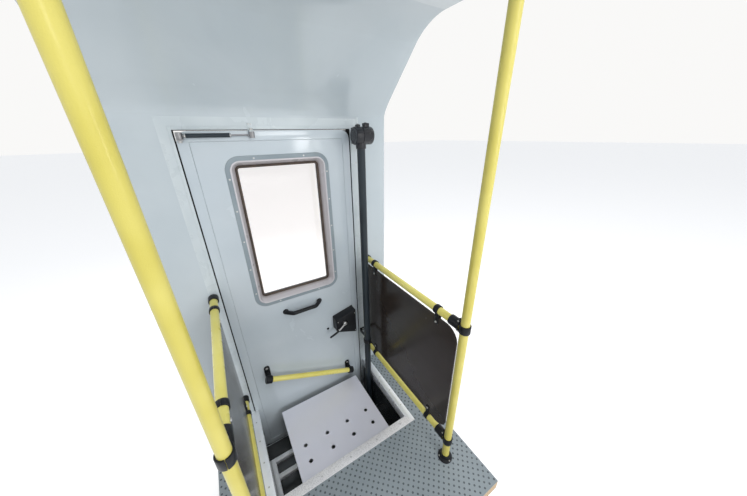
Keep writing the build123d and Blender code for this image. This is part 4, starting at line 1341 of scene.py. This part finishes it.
def door_rail_ends():
    """Moulded brackets of the slanted rail, each with a lug above that takes one bolt."""
    low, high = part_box("door_rail")
    line = (DOOR_RAIL_RIGHT - DOOR_RAIL_LEFT).normalized()
    radius = (high.y - low.y) / 2
    stem_half, foot, lug_half, lug_thick, crown_rise = 0.0145, 0.0170, 0.0165, 0.0070, 0.0380
    rib_half, arc_steps = 0.0042, 14
    bm = bmesh.new()
    bolts = []
    for end, inward in ((DOOR_RAIL_LEFT, 1), (DOOR_RAIL_RIGHT, -1)):
        near, far = end - line * inward * 0.0048, end + line * inward * 0.029
        sleeve(bm, near, far, radius + 0.0068, radius, 44, 0.0024)
        turned(bm, [(0.0, 0.0), (0.0160, 0.0), (0.0208, 0.0018), (radius + 0.0064, 0.0046)],
               near - line * inward * 0.0002, line * inward, 44)
        x, bottom, crown = end.x + inward * 0.013, end.z - foot, end.z + crown_rise
        block(bm, (x - stem_half, INNER - 0.040, bottom), (x + stem_half, INNER, end.z + foot),
              0.0060, 4)
        lug_y = INNER - lug_thick
        outline = [(x - lug_half, lug_y, bottom)]
        outline += [(x - lug_half * math.cos(math.pi * i / arc_steps), lug_y,
                     crown + lug_half * math.sin(math.pi * i / arc_steps))
                    for i in range(arc_steps + 1)]
        outline.append((x + lug_half, lug_y, bottom))
        prism(bm, outline, (0, lug_thick, 0), 0.0018, 3)
        block(bm, (x - rib_half, INNER - 0.032, end.z + 0.0100),
              (x + rib_half, INNER - 0.003, end.z + 0.0300), 0.003, 3)
        bolts.append((x, lug_y + 0.0001, crown + 0.0005))
    finished("door_rail_mounts", bm, MOULDED, "door", ("door_rail_brackets",))
    screws("door_rail_bolts", bolts, -Y, 0.0072, "door")


# Outside

HINGES_LOW, HINGES_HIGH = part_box("hinge_frame_leaves")
HINGE_HALF = 0.060
HINGE_LEVELS = (HINGES_LOW.z + HINGE_HALF, 0.76, HINGES_HIGH.z - HINGE_HALF)
HINGE_FRAME_SCREW_X = HINGES_LOW.x + 0.021
HINGE_LEAF_SCREW_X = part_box("hinge_door_leaves")[1].x - 0.019


def outside_handle():
    """The bar handle outside, on two feet."""
    low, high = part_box("outer_handle")
    centre, half = (low + high) / 2, (high.x - low.x) / 2
    foot_half, trim = 0.0145, 0.0006
    bm = bmesh.new()
    block(bm, (low.x, high.y - 0.010, low.z), (high.x, high.y, high.z), 0.0042, 4)
    for side in (-1, 1):
        foot = centre.x + side * (half - 0.015)
        block(bm, (foot - foot_half, OUTER, low.z + trim),
              (foot + foot_half, high.y - 0.003, high.z - trim), 0.0035, 4)
    finished("outside_grip", bm, MOULDED, "door", ("outer_handle",))


def hinge_screws():
    """Six countersunk screws in each half of the three hinges."""
    for name, x, body in (("frame_hinge_screws", HINGE_FRAME_SCREW_X, "bay"),
                          ("leaf_hinge_screws", HINGE_LEAF_SCREW_X, "door")):
        places = [(x + side * 0.009, OUTER + 0.003, level + 0.040 * row)
                  for level in HINGE_LEVELS for row in (-1, 0, 1) for side in (-1, 1)]
        screws(name, places, Y, 0.0046, body, flat_screw)


# The gas stay

STAY = middle("stay_tube")
STAY_LOW, STAY_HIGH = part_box("stay_tube")
EYE_RADIUS = 0.0110
TUBE_START = STAY_LOW.x + 0.025
LEAF_PIN_X = STAY_LOW.x + EYE_RADIUS
FRAME_PIN_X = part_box("stay_rod")[1].x - EYE_RADIUS
PIN_SEAT = 0.0172


def stay_tube():
    """The stay's tube with its eye and its end collars."""
    line, level = STAY.y, STAY.z
    bm = bmesh.new()
    bar(bm, (TUBE_START, line, level), (STAY_HIGH.x, line, level), 0.0080, 40, 0.0012)
    finished("stay_tube_body", bm, POWDER, "stay_tube", ("stay_tube",))
    eye_half = 0.012
    bm = bmesh.new()
    sleeve(bm, (LEAF_PIN_X, line, level - eye_half), (LEAF_PIN_X, line, level + eye_half),
           EYE_RADIUS, 0.0041, 44, 0.0014)
    bar(bm, (LEAF_PIN_X + 0.0095, line, level), (TUBE_START + 0.001, line, level), 0.0040, 24)
    finished("stay_eye", bm, DULL_STEEL, "stay_tube")
    bm = bmesh.new()
    turned(bm, [(0.0, 0.0), (0.0060, 0.0), (0.0070, 0.0010), (0.0082, 0.0020),
                (0.0084, 0.0060), (0.0080, 0.0066)], (TUBE_START - 0.0002, line, level), X, 32)
    turned(bm, [(0.0080, 0.0), (0.0085, 0.0006), (0.0085, 0.0030), (0.0076, 0.0038),
                (0.0074, 0.0052), (0.0042, 0.0058)], (STAY_HIGH.x - 0.005, line, level), X, 32)
    finished("stay_tube_caps", bm, ZINC, "stay_tube")


def stay_mounts():
    """The pins at both ends of the stay, its bracket on the header, and their screws."""
    line, level = STAY.y, STAY.z
    for name, x, body, up in (("stay_leaf_pin", LEAF_PIN_X, "door", -1),
                              ("stay_frame_pin", FRAME_PIN_X, "bay", 1)):
        bm = bmesh.new()
        turned(bm, [(0.0090, 0.0), (0.0094, 0.0006), (0.0094, 0.0016), (0.0072, 0.0018),
                    (0.0072, 0.0070), (0.0064, 0.0080), (0.0, 0.0082)],
               (x, line, level + up * PIN_SEAT), (0, 0, up), 36, flats=(3, 4))
        finished(name, bm, ZINC, body)
    low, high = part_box("stay_frame_bracket")
    thick = 0.0030
    bm = bmesh.new()
    block(bm, (low.x, INNER - thick, low.z + 0.0004), (high.x, INNER, high.z), 0.0009)
    block(bm, (low.x + 0.001, low.y + 0.002, low.z), (high.x - 0.001, INNER, level + PIN_SEAT),
          0.0009)
    finished("stay_lug", bm, FRAME_GREY, replaces=("stay_frame_bracket",))
    screws("stay_bracket_screws", [(FRAME_PIN_X + side * 0.005, INNER - thick, FRAME_TOP + 0.0145)
                                   for side in (-1, 1)], -Y, 0.0030)
    screws("stay_leaf_screw", [(LEAF_PIN_X, INNER - 0.004, level - 0.0065)], -Y, 0.0030, "door")


# The underframe

def underframe_details():
    """Weld beads between the beams, and plugs in the beams' cut ends."""
    long_low, long_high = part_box("long_beams")
    cross_low, cross_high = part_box("cross_beams")
    long_width, cross_width, clear = 0.060, 0.050, 0.001
    bm = bmesh.new()
    for x in (long_low.x + long_width, long_high.x - long_width):
        for y in (cross_low.y, cross_low.y + cross_width, cross_high.y - cross_width,
                  cross_high.y):
            bar(bm, (x, y, cross_low.z + clear), (x, y, cross_high.z - clear), 0.0036, 12, 0.001)
    finished("beam_welds", bm, UNDER)
    wall = 0.004
    bm = bmesh.new()
    for x in (long_low.x, long_high.x - long_width):
        block(bm, (x + wall, long_low.y, long_low.z + wall),
              (x + long_width - wall, long_low.y + wall, long_high.z - wall), 0.0015)
    finished("beam_plugs", bm, MOULDED)


creases()
frame_lips()
studded_covering()
stairwell_edging()
tread()
ladder()
pole_flanges()
rail_clamps()
wall_ends()
guard_clips()
post_drum()
post_tie_and_foot()
door_panel()
door_window()
window_screws()
bow_handle()
lock_cover()
lever()
leaf_plug()
door_rail_ends()
outside_handle()
hinge_screws()
stay_tube()
stay_mounts()
underframe_details()


# The studio

def seen_ray(tree):
    """One where the camera sees a surface, straight, through glass or in a reflection."""
    path = put(tree, "ShaderNodeLightPath")
    direct = combined(tree, "MAXIMUM", path.outputs["Is Camera Ray"],
                      path.outputs["Is Transmission Ray"])
    return combined(tree, "MAXIMUM", direct, path.outputs["Is Glossy Ray"])


def studio_floor():
    """A pale floor under the part. Its faint glow is seen, but doesn't light the part."""
    shown = bpy.data.materials.new("studio_pale")
    shown.use_nodes = True
    tree = shown.node_tree
    shader = tree.nodes["Principled BSDF"]
    shader.inputs["Base Color"].default_value = (0.93, 0.93, 0.925, 1)
    shader.inputs["Roughness"].default_value = 0.9
    shader.inputs["Emission Color"].default_value = (1.0, 0.995, 0.985, 1)
    glow = combined(tree, "MULTIPLY", seen_ray(tree), 0.24)
    join(tree, glow, shader.inputs["Emission Strength"])
    bm = bmesh.new()
    half, level = 60.0, CAD_BOX[0].z
    bm.faces.new([bm.verts.new((x * half, y * half, level))
                  for x, y in ((-1, -1), (1, -1), (1, 1), (-1, 1))])
    mesh = bpy.data.meshes.new("studio_floor")
    bm.to_mesh(mesh)
    bm.free()
    mesh.materials.append(shown)
    floor = bpy.data.objects.new("studio_floor", mesh)
    bpy.context.scene.collection.objects.link(floor)


def studio_air():
    """Soft bluish light from all round, and a near white backdrop where it is seen."""
    world = bpy.data.worlds.new("studio_air")
    world.use_nodes = True
    bpy.context.scene.world = world
    air = world.node_tree
    background = air.nodes["Background"]
    background.inputs["Color"].default_value = (0.92, 0.95, 1.0, 1)
    background.inputs["Strength"].default_value = 0.70
    seen = put(air, "ShaderNodeBackground", Strength=1.0)
    seen.inputs["Color"].default_value = (0.95, 0.945, 0.935, 1)
    blend = put(air, "ShaderNodeMixShader")
    join(air, seen_ray(air), blend.inputs[0])
    join(air, background.outputs[0], blend.inputs[1])
    join(air, seen.outputs[0], blend.inputs[2])
    join(air, blend.outputs[0], air.nodes["World Output"].inputs["Surface"])


def studio_lamps():
    """Soft lamps. Only the ceiling's and the door's show as glints on the gloss."""
    # Each lamp: its name, place, aim, size and power in watts
    lamps = (
        ("ceiling_glow", (2.9, -13.2, 5.6), (0.15, 0.5, 1.3), (4.2, 2.4), 182.0),
        ("high_glow", (0.10, -3.6, 8.0), (0.05, 0.2, 0.1), (2.8, 2.1), 215.0),
        ("left_glow", (-2.4, -1.6, 2.0), (0.0, 0.4, 1.0), (1.2, 1.2), 1.5),
        ("low_glow", (0.1, -14.0, 3.9), (0.05, 0.50, 0.20), (6.8, 4.0), 360.0),
        ("right_glow", (2.6, -1.4, 2.2), (0.0, 0.4, 0.9), (1.2, 1.2), 8.0),
        ("outside_glow", (0.6, 3.6, 2.6), (0.0, 0.6, 1.0), (2.2, 2.2), 30.0),
        ("door_glint", (0.74, -1.3, 1.68), (0.24, 0.55, 1.65), (0.26, 0.30), 2.0),
    )
    for name, place, aim, size, power in lamps:
        lamp = bpy.data.lights.new(name, "AREA")
        lamp.shape = "RECTANGLE"
        lamp.size, lamp.size_y = size
        lamp.energy = power
        holder = bpy.data.objects.new(name, lamp)
        holder.location = place
        line = Vector(aim) - Vector(place)
        holder.rotation_euler = line.to_track_quat("-Z", "Y").to_euler()
        holder.visible_camera = holder.visible_transmission = False
        holder.visible_glossy = name in ("ceiling_glow", "door_glint")
        bpy.context.scene.collection.objects.link(holder)


studio_floor()
studio_air()
studio_lamps()
bpy.context.scene.view_settings.view_transform = "Standard"
